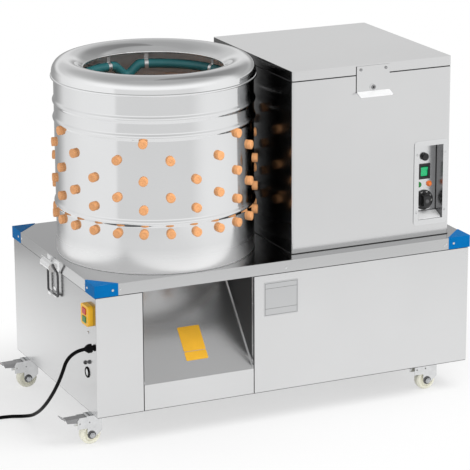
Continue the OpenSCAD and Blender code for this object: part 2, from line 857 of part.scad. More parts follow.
module tank_tub() {
    edge = sheet + seat;
    color("silver") from_corner() difference() {
        union() {
            span([tub_x, tub_back - tub_d, tank_top - tub_h], [tub_x + tub_w, tub_back, tank_top]);
            span(
                [tank_x + edge + tank_edge_r, tank_setback + edge, tank_top - sheet],
                [tank_x + tank_w - edge - tank_edge_r, tank_back - edge, tank_top]
            );
            translate([drain_x, tub_back - 1, drain_z]) rotate([-90, 0, 0]) {
                cylinder(r = drain_r, h = tub_margin + drain_nut + drain_l + 1);
                translate([0, 0, tub_margin + 1 + seat]) cylinder(r = drain_r + 5, h = drain_nut - seat, $fn = 6);
            }
        }
        span(
            [tub_x + sheet, tub_back - tub_d + sheet, tank_top - tub_h + sheet],
            [tub_x + tub_w - sheet, tub_back - sheet, tank_top + 1]
        );
        translate([drain_x, tub_back - 10, drain_z]) rotate([-90, 0, 0])
            cylinder(r = drain_r - 2.5, h = tub_margin + drain_nut + drain_l + 20);
        for (row = [heater_rows[0], heater_rows[3]])
            translate([tub_x + tub_w - 10, tub_back - tub_d / 2 + row * heater_pitch / 2, heater_z])
                rotate([0, 90, 0]) cylinder(r = heater_r + seat, h = 20);
    }
}

// Heating element: one bent tube with both ends through the tub's right wall
module half_turn(r) {
    rotate_extrude(angle = 180) translate([r, 0]) circle(heater_r);
}

module heating_element() {
    right = tub_x + tub_w + 24;
    bend = right - heater_reach;
    short = right - 70;
    color("dimgray") from_corner() translate([0, tub_back - tub_d / 2, heater_z]) {
        for (row = heater_rows)
            translate([bend, row * heater_pitch / 2, 0]) rotate([0, 90, 0])
                cylinder(r = heater_r, h = (abs(row) == 3 ? right : short) - bend);
        for (row = [-2, 2])
            translate([bend, row * heater_pitch / 2, 0]) rotate([0, 0, 90]) half_turn(heater_pitch / 2);
        translate([short, 0, 0]) rotate([0, 0, -90]) half_turn(heater_pitch / 2);
    }
}

// Control recess: bezel on the tank's front and a pocket with a sloping floor
module pocket_profile(grow) {
    back = tank_setback + recess_depth + grow;
    polygon([
        [tank_setback - bezel_t, recess_bottom - grow], [tank_setback + sheet, recess_bottom - grow],
        [back, recess_bottom + recess_rise - grow], [back, recess_bottom + recess_h + grow],
        [tank_setback - bezel_t, recess_bottom + recess_h + grow]
    ]);
}

recess_mid = recess_x + recess_w / 2;
panel_y = tank_setback + recess_depth;
reset_z = recess_bottom + 156.5;
rocker_z = recess_bottom + 117.5;
lamp_z = recess_bottom + 83.5;
knob_z = recess_bottom + recess_rise + knob_r + 3;
lamp_side = 15;
stem_r = 3;

module control_pocket() {
    color("silver") from_corner() difference() {
        union() {
            translate([recess_x - bezel_w, tank_setback, recess_bottom - bezel_w]) rotate([90, 0, 0])
                linear_extrude(bezel_t) rounded_square([recess_w + 2 * bezel_w, recess_h + 2 * bezel_w], 10);
            along_x(recess_x - pocket_t, recess_w + 2 * pocket_t) pocket_profile(pocket_t);
        }
        translate([0, -1, 0]) along_x(recess_x, recess_w) pocket_profile(0);
        along_x(recess_x, recess_w) pocket_profile(0);
        facing_front(recess_mid, reset_z, panel_y + 20) cylinder(r = reset_r - 3 + gap, h = 40);
        facing_front(recess_mid, knob_z, panel_y + 20) cylinder(r = stem_r + gap, h = 40);
        for (side = [-1, 1])
            facing_front(recess_mid + side * lamp_side, lamp_z, panel_y + 20) cylinder(r = lamp_r - 1 + seat, h = 40);
        translate([recess_mid - rocker_w / 2 + 3 - seat, panel_y - 20, rocker_z - rocker_h / 2 + 3 - seat])
            cube([rocker_w - 6 + 2 * seat, 40, rocker_h - 6 + 2 * seat]);
    }
}

// Rocker switch: frame, housing behind the panel and the tilted rocker
rocker_tilt = 9;
rocker_in = [rocker_w - 12, rocker_h - 12];
rocker_pivot_y = panel_y + 6;
switch_depth = 22;

module rocker_frame() {
    color("black") from_corner() translate([recess_mid, 0, rocker_z]) difference() {
        union() {
            span([-rocker_w / 2, panel_y - 3, -rocker_h / 2], [rocker_w / 2, panel_y, rocker_h / 2]);
            span(
                [-rocker_w / 2 + 3, panel_y - 1, -rocker_h / 2 + 3],
                [rocker_w / 2 - 3, panel_y + switch_depth, rocker_h / 2 - 3]
            );
        }
        span(
            [-rocker_in[0] / 2, 0, -rocker_in[1] / 2],
            [rocker_in[0] / 2, panel_y + switch_depth - 4, rocker_in[1] / 2]
        );
        translate([-rocker_w, rocker_pivot_y, 0]) rotate([0, 90, 0]) cylinder(r = 2 + fit, h = 2 * rocker_w);
    }
}

module rocker() {
    half = rocker_in[1] / 2 - 2;
    side = rocker_in[0] - 2 * gap;
    color("lime") from_corner() translate([recess_mid, rocker_pivot_y, rocker_z]) rotate([rocker_tilt, 0, 0]) {
        along_x(-side / 2, side)
            polygon([[4, -half + 3], [-7, -half], [-5.5, 0], [-7, half], [4, half - 3]]);
        translate([-rocker_w / 2 + 3, 0, 0]) rotate([0, 90, 0]) cylinder(r = 2, h = rocker_w - 6);
    }
}

// Reset button, thermostat knob and pilot lamps
reset_travel = 2.5;

module reset_button() {
    color("black") from_corner() facing_front(recess_mid, reset_z, panel_y - reset_travel - gap) {
        rotate_extrude() polygon([
            [0, 0], [reset_r, 0], [reset_r, 4], [reset_r - 1.5, 6.5], [0, 7.5]
        ]);
        translate([0, 0, -14]) cylinder(r = reset_r - 3, h = 15);
    }
}

module thermostat_knob() {
    color("black") from_corner() facing_front(recess_mid, knob_z, panel_y - gap) difference() {
        union() {
            cylinder(r = knob_r, h = 3);
            rotate_extrude() polygon([[0, 0], [grip_r, 0], [grip_r - 1, 18], [grip_r - 3, 20], [0, 20]]);
            translate([0, 0, -16]) cylinder(r = stem_r, h = 18);
        }
        for (side = [-1, 1])
            translate([side * grip_r - grip_r * 0.45, -grip_r, 7]) cube([grip_r * 0.9, 2 * grip_r, 20]);
    }
}

module pilot_lamps() {
    color("orange") from_corner() for (side = [-1, 1])
        facing_front(recess_mid + side * lamp_side, lamp_z, panel_y) {
            rotate_extrude() polygon([
                [0, 0], [lamp_r + 1.5, 0], [lamp_r + 1.5, 1.5], [lamp_r, 2], [lamp_r, 5], [lamp_r - 2, 7.5], [0, 8]
            ]);
            translate([0, 0, -18]) cylinder(r = lamp_r - 1, h = 19);
        }
}

// Lid: a folded tray with its moving hinge leaves
lid_z = tank_top + lid_gap;
lid_top = lid_z + lid_h - lid_gap;
hinge_y = tank_back + knuckle_r + 0.5;
hinge_z = lid_z - lid_gap / 2;
hinge_x = [tank_x + 50, tank_x + tank_w - 50 - hinge_w];
pin_r = knuckle_r - 2.5;
leaf_t = 2;
leaf_h = 22;
knuckle_l = hinge_w / 3;

module hinge_leaf(x, up) {
    low = up ? hinge_z : hinge_z - leaf_h;
    span([x, tank_back, low], [x + hinge_w, tank_back + leaf_t, low + leaf_h]);
}

module knuckle_cut(x, l) {
    translate([x - gap, hinge_y, hinge_z]) rotate([0, 90, 0]) cylinder(r = knuckle_r + 2 * gap, h = l + 2 * gap);
}

module knuckle(x, l, web_up) {
    translate([x, hinge_y, hinge_z]) rotate([0, 90, 0]) cylinder(r = knuckle_r, h = l);
    span(
        [x, tank_back, web_up ? hinge_z : hinge_z - knuckle_r],
        [x + l, hinge_y - knuckle_r * 0.4, web_up ? hinge_z + knuckle_r : hinge_z]
    );
}

module tank_lid() {
    color("gainsboro") from_corner() {
        difference() {
            translate([tank_x, tank_setback, lid_z]) linear_extrude(lid_top - lid_z)
                rounded_square([tank_w, tank_d], tank_edge_r);
            translate([tank_x + sheet, tank_setback + sheet, lid_z - 1]) linear_extrude(lid_top - lid_z + 1 - sheet)
                rounded_square([tank_w - 2 * sheet, tank_d - 2 * sheet], tank_edge_r - sheet);
        }
        for (x = hinge_x) difference() {
            union() {
                span([x, tank_back, lid_z], [x + hinge_w, tank_back + leaf_t, lid_z + leaf_h]);
                knuckle(x + knuckle_l + gap, knuckle_l - 2 * gap, true);
            }
            knuckle_cut(x, knuckle_l);
            knuckle_cut(x + 2 * knuckle_l, knuckle_l);
            translate([x - 1, hinge_y, hinge_z]) rotate([0, 90, 0]) cylinder(r = pin_r + fit, h = hinge_w + 2);
        }
    }
}

module lid_hinges() {
    color("silver") from_corner() for (x = hinge_x) {
        difference() {
            union() {
                hinge_leaf(x, false);
                for (i = [0, 2])
                    knuckle(x + i * knuckle_l, knuckle_l, false);
            }
            knuckle_cut(x + knuckle_l + gap, knuckle_l - 2 * gap);
            span([x - 1, tank_back - 1, hinge_z], [x + hinge_w + 1, hinge_y - knuckle_r * 0.9, hinge_z + 1]);
        }
        translate([x, hinge_y, hinge_z]) rotate([0, 90, 0]) cylinder(r = pin_r, h = hinge_w);
    }
}

// Pull plate on the lid's front, with a pressed ring and a flared lip
pull_t = 1.5;
pull_hole_r = 6;

module lid_handle() {
    left = tank_x + tank_w / 2 - pull_w / 2;
    top = lid_top - 3;
    bottom = lid_top - pull_h - 3;
    front = tank_setback - pull_t;
    hole_z = bottom + 11.5;
    color("silver") from_corner() {
        difference() {
            union() {
                along_x(left, pull_w) polygon([
                    [tank_setback, top], [tank_setback, bottom], [front - pull_flare, bottom - pull_flare * 0.45],
                    [front - pull_flare, bottom - pull_flare * 0.45 + pull_t * 1.2], [front, bottom + pull_t],
                    [front, top]
                ]);
                facing_front(left + pull_w / 2, hole_z, front + 0.5) cylinder(r = pull_hole_r + 3, h = 2.5);
            }
            facing_front(left + pull_w / 2, hole_z, front + 10) cylinder(r = pull_hole_r, h = 20);
        }
        for (x = [left + 11, left + pull_w - 11])
            facing_front(x, top - 9, front) button_head(screw_r + 0.5, 2);
    }
}

// Start and stop switch on the left panel
button_travel = 3;
button_size = [switch_w - 26, switch_h / 2 - 11];
button_side = switch_h / 4 - 2.5;
bar_t = 2;

module switch_frame() {
    face = panel_in - switch_out;
    color("gold") from_corner() translate([0, switch_mid, switch_z]) difference() {
        union() {
            translate([face, -switch_w / 2, -switch_h / 2]) rotate([90, 0, 90])
                linear_extrude(switch_out) rounded_square([switch_w, switch_h], 8);
            translate([panel_in - 1, -switch_hole[0] / 2 + seat, -switch_hole[1] / 2 + seat])
                cube([30, switch_hole[0] - 2 * seat, switch_hole[1] - 2 * seat]);
        }
        for (side = [-1, 1])
            translate([face - 1, -button_size[0] / 2 - gap, side * button_side - button_size[1] / 2 - gap])
                cube([24, button_size[0] + 2 * gap, button_size[1] + 2 * gap]);
    }
}

module push_button(side) {
    face = panel_in - switch_out;
    translate([face - 2, switch_mid - button_size[0] / 2, switch_z + side * button_side - button_size[1] / 2])
        cube([18, button_size[0], button_size[1]]);
}

module stop_button() {
    color("red") from_corner() push_button(1);
}

module start_button() {
    color("green") from_corner() push_button(-1);
}

// Toggle latch: base on the deck flange, keeper on the panel, lever and wire bail
latch_pivot_x = -15;
latch_pivot_z = deck_z - 17.5;
bail_arm = 7;
latch_clear = -4.5;
bail_tilt = asin((latch_clear - latch_pivot_x) / bail_l);
cheek_t = 3;
cheek_r = 8;
pivot_r = 3;
lever_w = bail_w - 8;
lever_r = 12;
bail_bar_z = latch_pivot_z + bail_arm - bail_l * cos(bail_tilt);
keeper_w = 18;
keeper_lip = 5;
ear_y = bail_w / 2 - 10;
disc_y = bail_w / 2 - 5.5;

module latch_plates() {
    color("silver") from_corner() translate([0, latch_y, 0]) {
        difference() {
            union() {
                span([-2, -bail_w / 2 - 8, deck_z - flange_h], [0, bail_w / 2 + 8, deck_z - 2]);
                for (side = [-1, 1]) {
                    translate([latch_pivot_x, side * ear_y - cheek_t / 2, latch_pivot_z])
                        rotate([-90, 0, 0]) cylinder(r = cheek_r, h = cheek_t);
                    translate([latch_pivot_x, side * ear_y - cheek_t / 2, latch_pivot_z - 6])
                        cube([-latch_pivot_x, cheek_t, 12]);
                }
            }
            translate([latch_pivot_x, -bail_w, latch_pivot_z]) rotate([-90, 0, 0])
                cylinder(r = pivot_r + fit, h = 2 * bail_w);
        }
        keeper();
    }
}

module keeper() {
    hook_x = latch_clear - 2 * wire_r - 2.2;
    hook_z = bail_bar_z + wire_r + gap;
    along_y(-keeper_w / 2, keeper_w) polygon([
        [panel_in, hook_z + 12], [panel_in, hook_z - 14], [panel_in - 2, hook_z - 14], [panel_in - 2, hook_z],
        [hook_x, hook_z], [hook_x, hook_z - keeper_lip], [hook_x - 2, hook_z - keeper_lip], [hook_x - 2, hook_z + 2],
        [panel_in - 2, hook_z + 2], [panel_in - 2, hook_z + 12]
    ]);
}

module latch_lever() {
    color("gainsboro") from_corner() translate([latch_pivot_x, latch_y, latch_pivot_z]) {
        translate([0, -disc_y, 0]) rotate([-90, 0, 0]) cylinder(r = pivot_r, h = 2 * disc_y);
        for (side = [-1, 1]) translate([0, side * disc_y - 1.5, 0]) difference() {
            rotate([-90, 0, 0]) cylinder(r = lever_r, h = 3);
            translate([0, -1, bail_arm]) rotate([-90, 0, 0]) cylinder(r = wire_r + fit, h = 5);
        }
        along_y(-lever_w / 2, lever_w) {
            intersection() {
                difference() {
                    circle(lever_r);
                    circle(lever_r - 1.5);
                }
                translate([-2 * lever_r, -4]) square([2 * lever_r - 1, 3 * lever_r]);
            }
            polygon([[-2, lever_r - 1.4], [-0.9, lever_r - 1.4], [-1.5, 14], [-7, 18], [-8, 17], [-3, 13.2]]);
        }
    }
}

module latch_bail() {
    color("gray") from_corner() translate([latch_pivot_x, latch_y, latch_pivot_z + bail_arm])
        rotate([0, -bail_tilt, 0]) {
            for (side = [-1, 1]) translate([0, side * bail_w / 2, 0]) {
                translate([0, 0, -bail_l]) cylinder(r = wire_r, h = bail_l);
                rotate([side * 90, 0, 0]) cylinder(r = wire_r, h = 7.5);
                sphere(wire_r);
                translate([0, 0, -bail_l]) sphere(wire_r);
            }
            translate([0, -bail_w / 2, -bail_l]) rotate([-90, 0, 0]) cylinder(r = wire_r, h = bail_w);
        }
}

// Cable gland, hexagon nut and sleeve, with a blind grommet below it
gland_stem = 8;
gland_nut = 9;
gland_cone = 5;
grommet_y = 64;
grommet_z = 182.5;
grommet_r = 14;
sleeve_l = 3;

module cord_gland() {
    bore = cord_d / 2 + 0.5;
    nut_end = gland_stem + gland_nut;
    cone_end = nut_end + gland_cone;
    color("black") from_corner() {
        facing_left(gland_y, gland_z, panel_in) difference() {
            union() {
                cylinder(r = gland_r + 2, h = 1.5);
                translate([0, 0, -frame_in - 6]) cylinder(r = gland_r, h = frame_in + 6 + gland_stem);
                translate([0, 0, gland_stem]) cylinder(r = gland_r + 5.5, h = gland_nut, $fn = 6);
                translate([0, 0, nut_end]) cylinder(r1 = gland_r + 4, r2 = gland_r + 1.5, h = gland_cone);
                translate([0, 0, cone_end]) cylinder(r1 = gland_r + 0.5, r2 = cord_d / 2 + 1.3, h = sleeve_l);
            }
            translate([0, 0, -frame_in - 8]) cylinder(r = bore, h = cone_end + sleeve_l + frame_in + 20);
        }
        facing_left(grommet_y, grommet_z, panel_in) rotate_extrude() polygon([
            [0, 0], [grommet_r, 0], [grommet_r, 1.5], [grommet_r - 2, 3], [grommet_r - 4, 3], [grommet_r - 4.5, 1], [0, 1]
        ]);
    }
}

// Casters: fixed plates with king pins, forks, wheels and brake pedals
caster_spots = [
    [caster_left, caster_front],
    [caster_left, deck_d - caster_back],
    [deck_l - caster_right, caster_front],
    [deck_l - caster_right, deck_d - caster_back]
];
caster_plate = [52, 50, 3];
king_r = 6;
fork_top = caster_h - caster_plate[2] - gap;
fork_t = 2.5;
fork_head = 6;
wheel_gap = 1.5;
wheel_r = wheel_d / 2;
axle_r = 4;
race_r = 20;
leg_y = wheel_w / 2 + wheel_gap;
pedal_pivot = [-caster_trail - 5, wheel_r + 33];
fork_rivet = [-caster_trail - 30, wheel_r + 32];
washer_t = 1.5;

module at_caster(i) {
    from_corner() translate([caster_spots[i][0], caster_spots[i][1], 0]) children();
}

module caster_plates() {
    color("silver") for (i = [0:3]) at_caster(i) {
        translate([-caster_plate[0] / 2, -caster_plate[1] / 2, caster_h - caster_plate[2]]) cube(caster_plate);
        translate([0, 0, fork_top - fork_head - 2 * gap]) cylinder(r = king_r, h = fork_head + 4 * gap);
        translate([0, 0, fork_top - fork_head - gap - 3]) cylinder(r = king_r + 3, h = 3);
    }
}

module fork_leg_profile() {
    top = fork_top - fork_head;
    hood = wheel_r + 18;
    translate([-caster_trail, 0]) {
        polygon([
            [-36, hood], [-11, hood], [-11, wheel_r], [8, wheel_r - 7.5], [28, wheel_r + 9], [28, top],
            [-30, top], [-36, top - 8]
        ]);
        translate([0, wheel_r]) circle(11);
    }
}

module caster_fork(i) {
    top = fork_top - fork_head;
    color("silver") at_caster(i) {
        difference() {
            union() {
                translate([0, 0, top]) cylinder(r = race_r, h = fork_head);
                translate([-caster_trail - 12, -leg_y - fork_t, top]) cube([caster_trail + 12, 2 * (leg_y + fork_t), 2.5]);
                for (y = [-leg_y - fork_t, leg_y])
                    along_y(y, fork_t) fork_leg_profile();
            }
            translate([0, 0, top - 1]) cylinder(r = king_r + fit, h = fork_head + 2);
            for (hole = [pedal_pivot, fork_rivet])
                translate([hole[0], -30, hole[1]]) rotate([-90, 0, 0]) cylinder(r = 2 + fit, h = 60);
        }
        translate([-caster_trail, -leg_y - fork_t - 3, wheel_r]) rotate([-90, 0, 0])
            cylinder(r = axle_r, h = 2 * (leg_y + fork_t + 3));
        for (side = [-1, 1])
            translate([-caster_trail, side * (leg_y + fork_t), wheel_r]) rotate([-side * 90, 0, 0]) {
                cylinder(r = 9, h = washer_t);
                translate([0, 0, washer_t]) cylinder(r = 7, h = 5, $fn = 6);
            }
    }
}

module caster_wheel(i) {
    half = wheel_w / 2;
    color("cornsilk") at_caster(i) translate([-caster_trail, 0, wheel_r]) rotate([-90, 0, 0]) rotate_extrude()
        polygon([
            [axle_r + fit, -half - 1], [9, -half - 1], [9, -half + 3], [wheel_r - 9, -half + 3], [wheel_r - 8, -half],
            [wheel_r - 4, -half], [wheel_r - 0.8, -half + 3], [wheel_r, -half + 6], [wheel_r, half - 6],
            [wheel_r - 0.8, half - 3], [wheel_r - 4, half], [wheel_r - 8, half], [wheel_r - 9, half - 3], [9, half - 3],
            [9, half + 1], [axle_r + fit, half + 1]
        ]);
}

// Brake pedal: a channel on a cross pin, with its tip turned up
module brake_pedal(i) {
    x = pedal_pivot[0];
    z = pedal_pivot[1];
    half = leg_y - gap;
    plate = fork_top - fork_head - 3;
    start = -caster_trail - 14;
    tip = -caster_trail + 10 - pedal_l;
    color("silver") at_caster(i) {
        along_y(-half, 2 * half) polygon([
            [start, plate], [tip + 14, plate - 1], [tip, plate + 7], [tip, plate + 9.5], [tip + 13, plate + 1.5],
            [start, plate + 2.5]
        ]);
        for (y = [-half, half - 2])
            along_y(y, 2) polygon([
                [x + 4, z - 4], [x - 8, z - 4], [start - 14, plate - 11], [tip + 16, plate - 8],
                [tip + 12, plate + 1], [start, plate + 1], [x + 4, z + 4]
            ]);
        translate([x, -leg_y - fork_t, z]) rotate([-90, 0, 0]) cylinder(r = 2, h = 2 * (leg_y + fork_t));
    }
}

module fork_front_left() { caster_fork(0); }
module fork_back_left() { caster_fork(1); }
module fork_front_right() { caster_fork(2); }
module fork_back_right() { caster_fork(3); }
module wheel_front_left() { caster_wheel(0); }
module wheel_back_left() { caster_wheel(1); }
module wheel_front_right() { caster_wheel(2); }
module wheel_back_right() { caster_wheel(3); }
module pedal_front_left() { brake_pedal(0); }
module pedal_back_left() { brake_pedal(1); }

// Tube swept along a list of points, closed at both ends
function unit(v) = v / norm(v);
function tangent(p, i) = unit(p[min(i + 1, len(p) - 1)] - p[max(i - 1, 0)]);
function side_of(t) = norm(cross(t, [0, 0, 1])) > 0.05 ? unit(cross(t, [0, 0, 1])) : [0, 1, 0];

module tube_along(p, r, sides) {
    n = len(p);
    rings = [
        for (i = [0:n - 1])
            let (t = tangent(p, i), u = side_of(t), v = cross(u, t))
            for (k = [0:sides - 1])
                let (a = 360 * (k + 0.5) / sides)
                p[i] + r * (cos(a) * u + sin(a) * v)
    ];
    walls = [
        for (i = [0:n - 2], k = [0:sides - 1])
            let (a = i * sides + k, b = i * sides + (k + 1) % sides)
            each [[a, a + sides, b], [b, a + sides, b + sides]]
    ];
    start = [for (k = [1:sides - 2]) [0, k, k + 1]];
    end = [for (k = [1:sides - 2]) [(n - 1) * sides, (n - 1) * sides + k + 1, (n - 1) * sides + k]];
    polyhedron(rings, concat(walls, start, end));
}

// Cord route from the gland to the floor, chosen by hand, in deck corner places
cord_r = cord_d / 2;
cord_sides = 10;
cord_route = [
    [0, gland_y, gland_z], [-22, gland_y, gland_z], [-42, gland_y + 1.5, gland_z - 3.8],
    [-58.5, gland_y + 6, gland_z - 15], [-68, 27, 228.5], [-72, 37.5, 205], [-75.5, 55.5, 175], [-79, 85, 138],
    [-80.5, 124, 101], [-80, 166, 69], [-78, 210, 42], [-80.5, 250, 20.5], [-92, 283, 8.5], [-119, 304, 4.7],
    [-158, 308, 4.7], [-198, 308, 4.7], [-238, 308, 4.7]
];
cord_steps = 4;

function curve(p, i, s) =
    let (
        a = p[max(i - 1, 0)],
        b = p[i],
        c = p[i + 1],
        d = p[min(i + 2, len(p) - 1)]
    )
    0.5 * (2 * b + (c - a) * s + (2 * a - 5 * b + 4 * c - d) * s * s + (3 * b - a - 3 * c + d) * s * s * s);

function smooth_path(p, steps) = concat(
    [for (i = [0:len(p) - 2], k = [0:steps - 1]) curve(p, i, k / steps)],
    [p[len(p) - 1]]
);

module power_cord() {
    color("black") from_corner()
        tube_along(smooth_path(cord_route, cord_steps), cord_r, cord_sides);
}

// Coil: in along the lower layer, up a layer in half a turn, out along the upper one
coil_pitch = cord_d + 0.8;
coil_rise = cord_d + 0.8;
coil_rings = 24;
coil_sides = 6;
coil_start_gap = 0.65;
coil_outer = coil_r + coil_pitch * coil_turns / 2;
coil_start = cord_route[len(cord_route) - 1];
coil_middle = [coil_start[0], coil_start[1] + coil_outer, 0];
coil_count = round((2 * coil_turns + 0.5) * coil_rings);

function coil_radius(turn) =
    turn <= coil_turns ? coil_outer - coil_pitch * turn
    : turn <= coil_turns + 0.5 ? coil_outer - coil_pitch * (coil_turns + 0.25 - abs(turn - coil_turns - 0.25))
    : coil_outer - coil_pitch * coil_turns + coil_pitch * (turn - coil_turns - 0.5);

function coil_height(turn) =
    coil_start[2] + coil_rise * min(1, max(0, (turn - coil_turns) / 0.5));

function coil_point(turn) =
    let (r = coil_radius(turn), a = -90 - 360 * turn)
    [coil_middle[0] + r * cos(a), coil_middle[1] + r * sin(a), coil_height(turn)];

coil_path = [
    for (i = [0:coil_count])
        i == 0 ? coil_start - [coil_start_gap, 0, 0] : coil_point(i / coil_rings)
];
coil_end = coil_path[coil_count];
coil_tail = [coil_end + [16, 0.4, 0], coil_end + [32, 0.4, 0]];
coil_full = concat(coil_path, coil_tail);
coil_self_gap = min([
    for (i = [0:len(coil_full) - 1], j = [i + 8:1:len(coil_full) - 1])
        norm(coil_full[i] - coil_full[j]) - cord_d
]);
echo(coil_self_gap = coil_self_gap);

module cord_coil() {
    color("black") from_corner() tube_along(coil_full, cord_r, coil_sides);
}

// Tie round the coil's bundle, on the side away from the cord's ends
module cord_tie() {
    inner = coil_outer - coil_pitch * coil_turns - cord_r - gap;
    outer = coil_outer + cord_r + gap;
    low = 0.2;
    high = coil_start[2] + coil_rise + cord_r + gap;
    color("dimgray") from_corner() translate([coil_middle[0] - 5, coil_middle[1], 0]) difference() {
        span([0, inner - 1.2, 0], [10, outer + 1.2, high + 1.2]);
        span([-1, inner, low], [11, outer, high]);
    }
}

// Mains plug with two round pins at the end of the cord
plug_r = 16;
pin_gap = 19;

module cord_plug() {
    tail = coil_full[len(coil_full) - 1];
    color("black") from_corner() translate(tail) rotate([0, 90, 0]) {
        cylinder(r1 = cord_r + 1, r2 = cord_r + 3, h = 18);
        translate([0, 0, 18]) cylinder(r1 = cord_r + 3, r2 = plug_r - 2, h = 14);
        translate([0, 0, 32]) cylinder(r = plug_r - 2, h = 22);
        for (side = [-1, 1])
            translate([0, side * pin_gap / 2, 53]) cylinder(r = 2.4, h = 20);
    }
}

base_frame();
left_panel();
right_panel();
back_panel();
front_left_panel();
front_right_panel();
chute();
deck();
corner_protectors();
fasteners();
drum_shell();
drum_rim();
drum_fingers();
spray_hose();
spray_clips();
water_inlet();
bearing_bridge();
bearings();
turntable();
turntable_fingers();
rotor_shaft();
driven_pulley();
drive_belt();
motor();
motor_mount();
motor_pulley();
tank_shell();
tank_tub();
heating_element();
control_pocket();
rocker_frame();
rocker();
reset_button();
thermostat_knob();
pilot_lamps();
tank_lid();
lid_handle();
lid_hinges();
switch_frame();
stop_button();
start_button();
latch_plates();
latch_lever();
latch_bail();
cord_gland();
caster_plates();
fork_front_left();
fork_back_left();
fork_front_right();
fork_back_right();
wheel_front_left();
wheel_back_left();
wheel_front_right();
wheel_back_right();
pedal_front_left();
pedal_back_left();
power_cord();
cord_coil();
cord_tie();
cord_plug();
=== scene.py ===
import math

import bmesh
import bpy
from mathutils import Matrix, Vector


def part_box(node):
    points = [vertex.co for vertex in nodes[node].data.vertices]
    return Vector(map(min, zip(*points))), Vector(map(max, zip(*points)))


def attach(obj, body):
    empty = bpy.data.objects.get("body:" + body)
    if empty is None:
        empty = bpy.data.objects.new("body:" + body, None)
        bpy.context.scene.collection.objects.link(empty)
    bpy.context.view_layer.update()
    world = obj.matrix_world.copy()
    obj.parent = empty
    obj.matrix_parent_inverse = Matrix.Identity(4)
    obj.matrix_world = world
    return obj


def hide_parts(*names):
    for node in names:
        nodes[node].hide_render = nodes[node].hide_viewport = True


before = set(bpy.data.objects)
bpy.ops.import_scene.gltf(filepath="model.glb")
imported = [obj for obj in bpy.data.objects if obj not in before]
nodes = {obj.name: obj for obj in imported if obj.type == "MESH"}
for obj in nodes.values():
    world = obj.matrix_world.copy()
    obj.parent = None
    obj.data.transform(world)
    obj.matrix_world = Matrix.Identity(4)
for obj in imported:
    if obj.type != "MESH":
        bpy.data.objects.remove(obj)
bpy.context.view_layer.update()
scene = bpy.context.scene
scene.view_settings.view_transform = "Standard"

MM = 0.001
DECK_L, DECK_D, DECK_Z = 1033.5, 584.0, 419.5
DRUM_X, DRUM_Y, DRUM_R = 269.5, 261.0, 250.0
PANEL_IN = 1.7


def at(x, y, z):
    """A point measured in millimetres from the deck's front left corner and the floor."""
    return Vector(((x - DECK_L / 2) * MM, (y - DECK_D / 2) * MM, z * MM))


def add(name, data, body="cabinet", place=None):
    obj = bpy.data.objects.new(name, data)
    scene.collection.objects.link(obj)
    if place is not None:
        obj.matrix_world = place
    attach(obj, body)
    return obj


def placed(spot, across, up):
    """The matrix of a piece drawn on its own XY plane, with its X along across and its Y along up."""
    across, up = Vector(across), Vector(up)
    turn = Matrix((across, up, across.cross(up))).transposed().to_4x4()
    return Matrix.Translation(spot) @ turn


# Camera
IMAGE = 470
FOCAL_PX = 2441.253
SENSOR = 36.0
AZIMUTH, ELEVATION, ROLL = 0.427793, 0.282726, -0.004197
CAMERA_AT = (-2.530544, -5.523000, 2.173430)

look = Vector((
    math.cos(ELEVATION) * math.sin(AZIMUTH), math.cos(ELEVATION) * math.cos(AZIMUTH), -math.sin(ELEVATION)
))
side = Vector((math.cos(AZIMUTH), -math.sin(AZIMUTH), 0))
rise = side.cross(look)
right = side * math.cos(ROLL) + rise * math.sin(ROLL)
top = rise * math.cos(ROLL) - side * math.sin(ROLL)
camera_data = bpy.data.cameras.new("camera")
camera_data.sensor_width = SENSOR
camera_data.lens = SENSOR * FOCAL_PX / IMAGE
camera = bpy.data.objects.new("camera", camera_data)
scene.collection.objects.link(camera)
camera.matrix_world = placed(CAMERA_AT, right, top)
scene.camera = camera


# Mesh and curve helpers
SHARP = math.radians(40)


def mesh_from(name, bm):
    mesh = bpy.data.meshes.new(name)
    bm.to_mesh(mesh)
    bm.free()
    return mesh


def smooth_mesh(name, bm):
    """A mesh shaded smooth, apart from its sharp edges."""
    bmesh.ops.recalc_face_normals(bm, faces=bm.faces)
    mesh = mesh_from(name, bm)
    for face in mesh.polygons:
        face.use_smooth = True
    mesh.set_sharp_from_angle(angle=SHARP)
    return mesh


def join_rows(bm, rows):
    """Joins closed rows of points, each to the next, with a band of faces."""
    count = len(rows[0])
    for row, following in zip(rows, rows[1:]):
        for i in range(count):
            j = (i + 1) % count
            bm.faces.new((row[i], row[j], following[j], following[i]))


def add_box(bm, size, middle):
    made = bmesh.ops.create_cube(bm, size=1.0)["verts"]
    place = Matrix.Translation(middle) @ Matrix.Diagonal((*size, 1))
    bmesh.ops.transform(bm, matrix=place, verts=made)


def boxes_mesh(name, boxes):
    """Boxes given by their low and high corners, in millimetres."""
    bm = bmesh.new()
    for low, high in boxes:
        size = [(b - a) * MM for a, b in zip(low, high)]
        add_box(bm, size, at(*[(a + b) / 2 for a, b in zip(low, high)]))
    return mesh_from(name, bm)


def lathe(bm, profile, segments, place, closed=True):
    """Turns a profile of (radius, height), in millimetres, round the Z axis of place."""
    rows = []
    for i in range(segments):
        a = 2 * math.pi * i / segments
        rows.append([
            bm.verts.new(place @ (Vector((r * math.cos(a), r * math.sin(a), z)) * MM)) for r, z in profile
        ])
    pairs = list(zip(range(len(profile)), range(1, len(profile))))
    if closed:
        pairs.append((len(profile) - 1, 0))
    for row, following in zip(rows, rows[1:] + rows[:1]):
        for a, b in pairs:
            bm.faces.new((row[a], following[a], following[b], row[b]))
    if not closed:
        bm.faces.new([row[0] for row in reversed(rows)])
        bm.faces.new([row[-1] for row in rows])


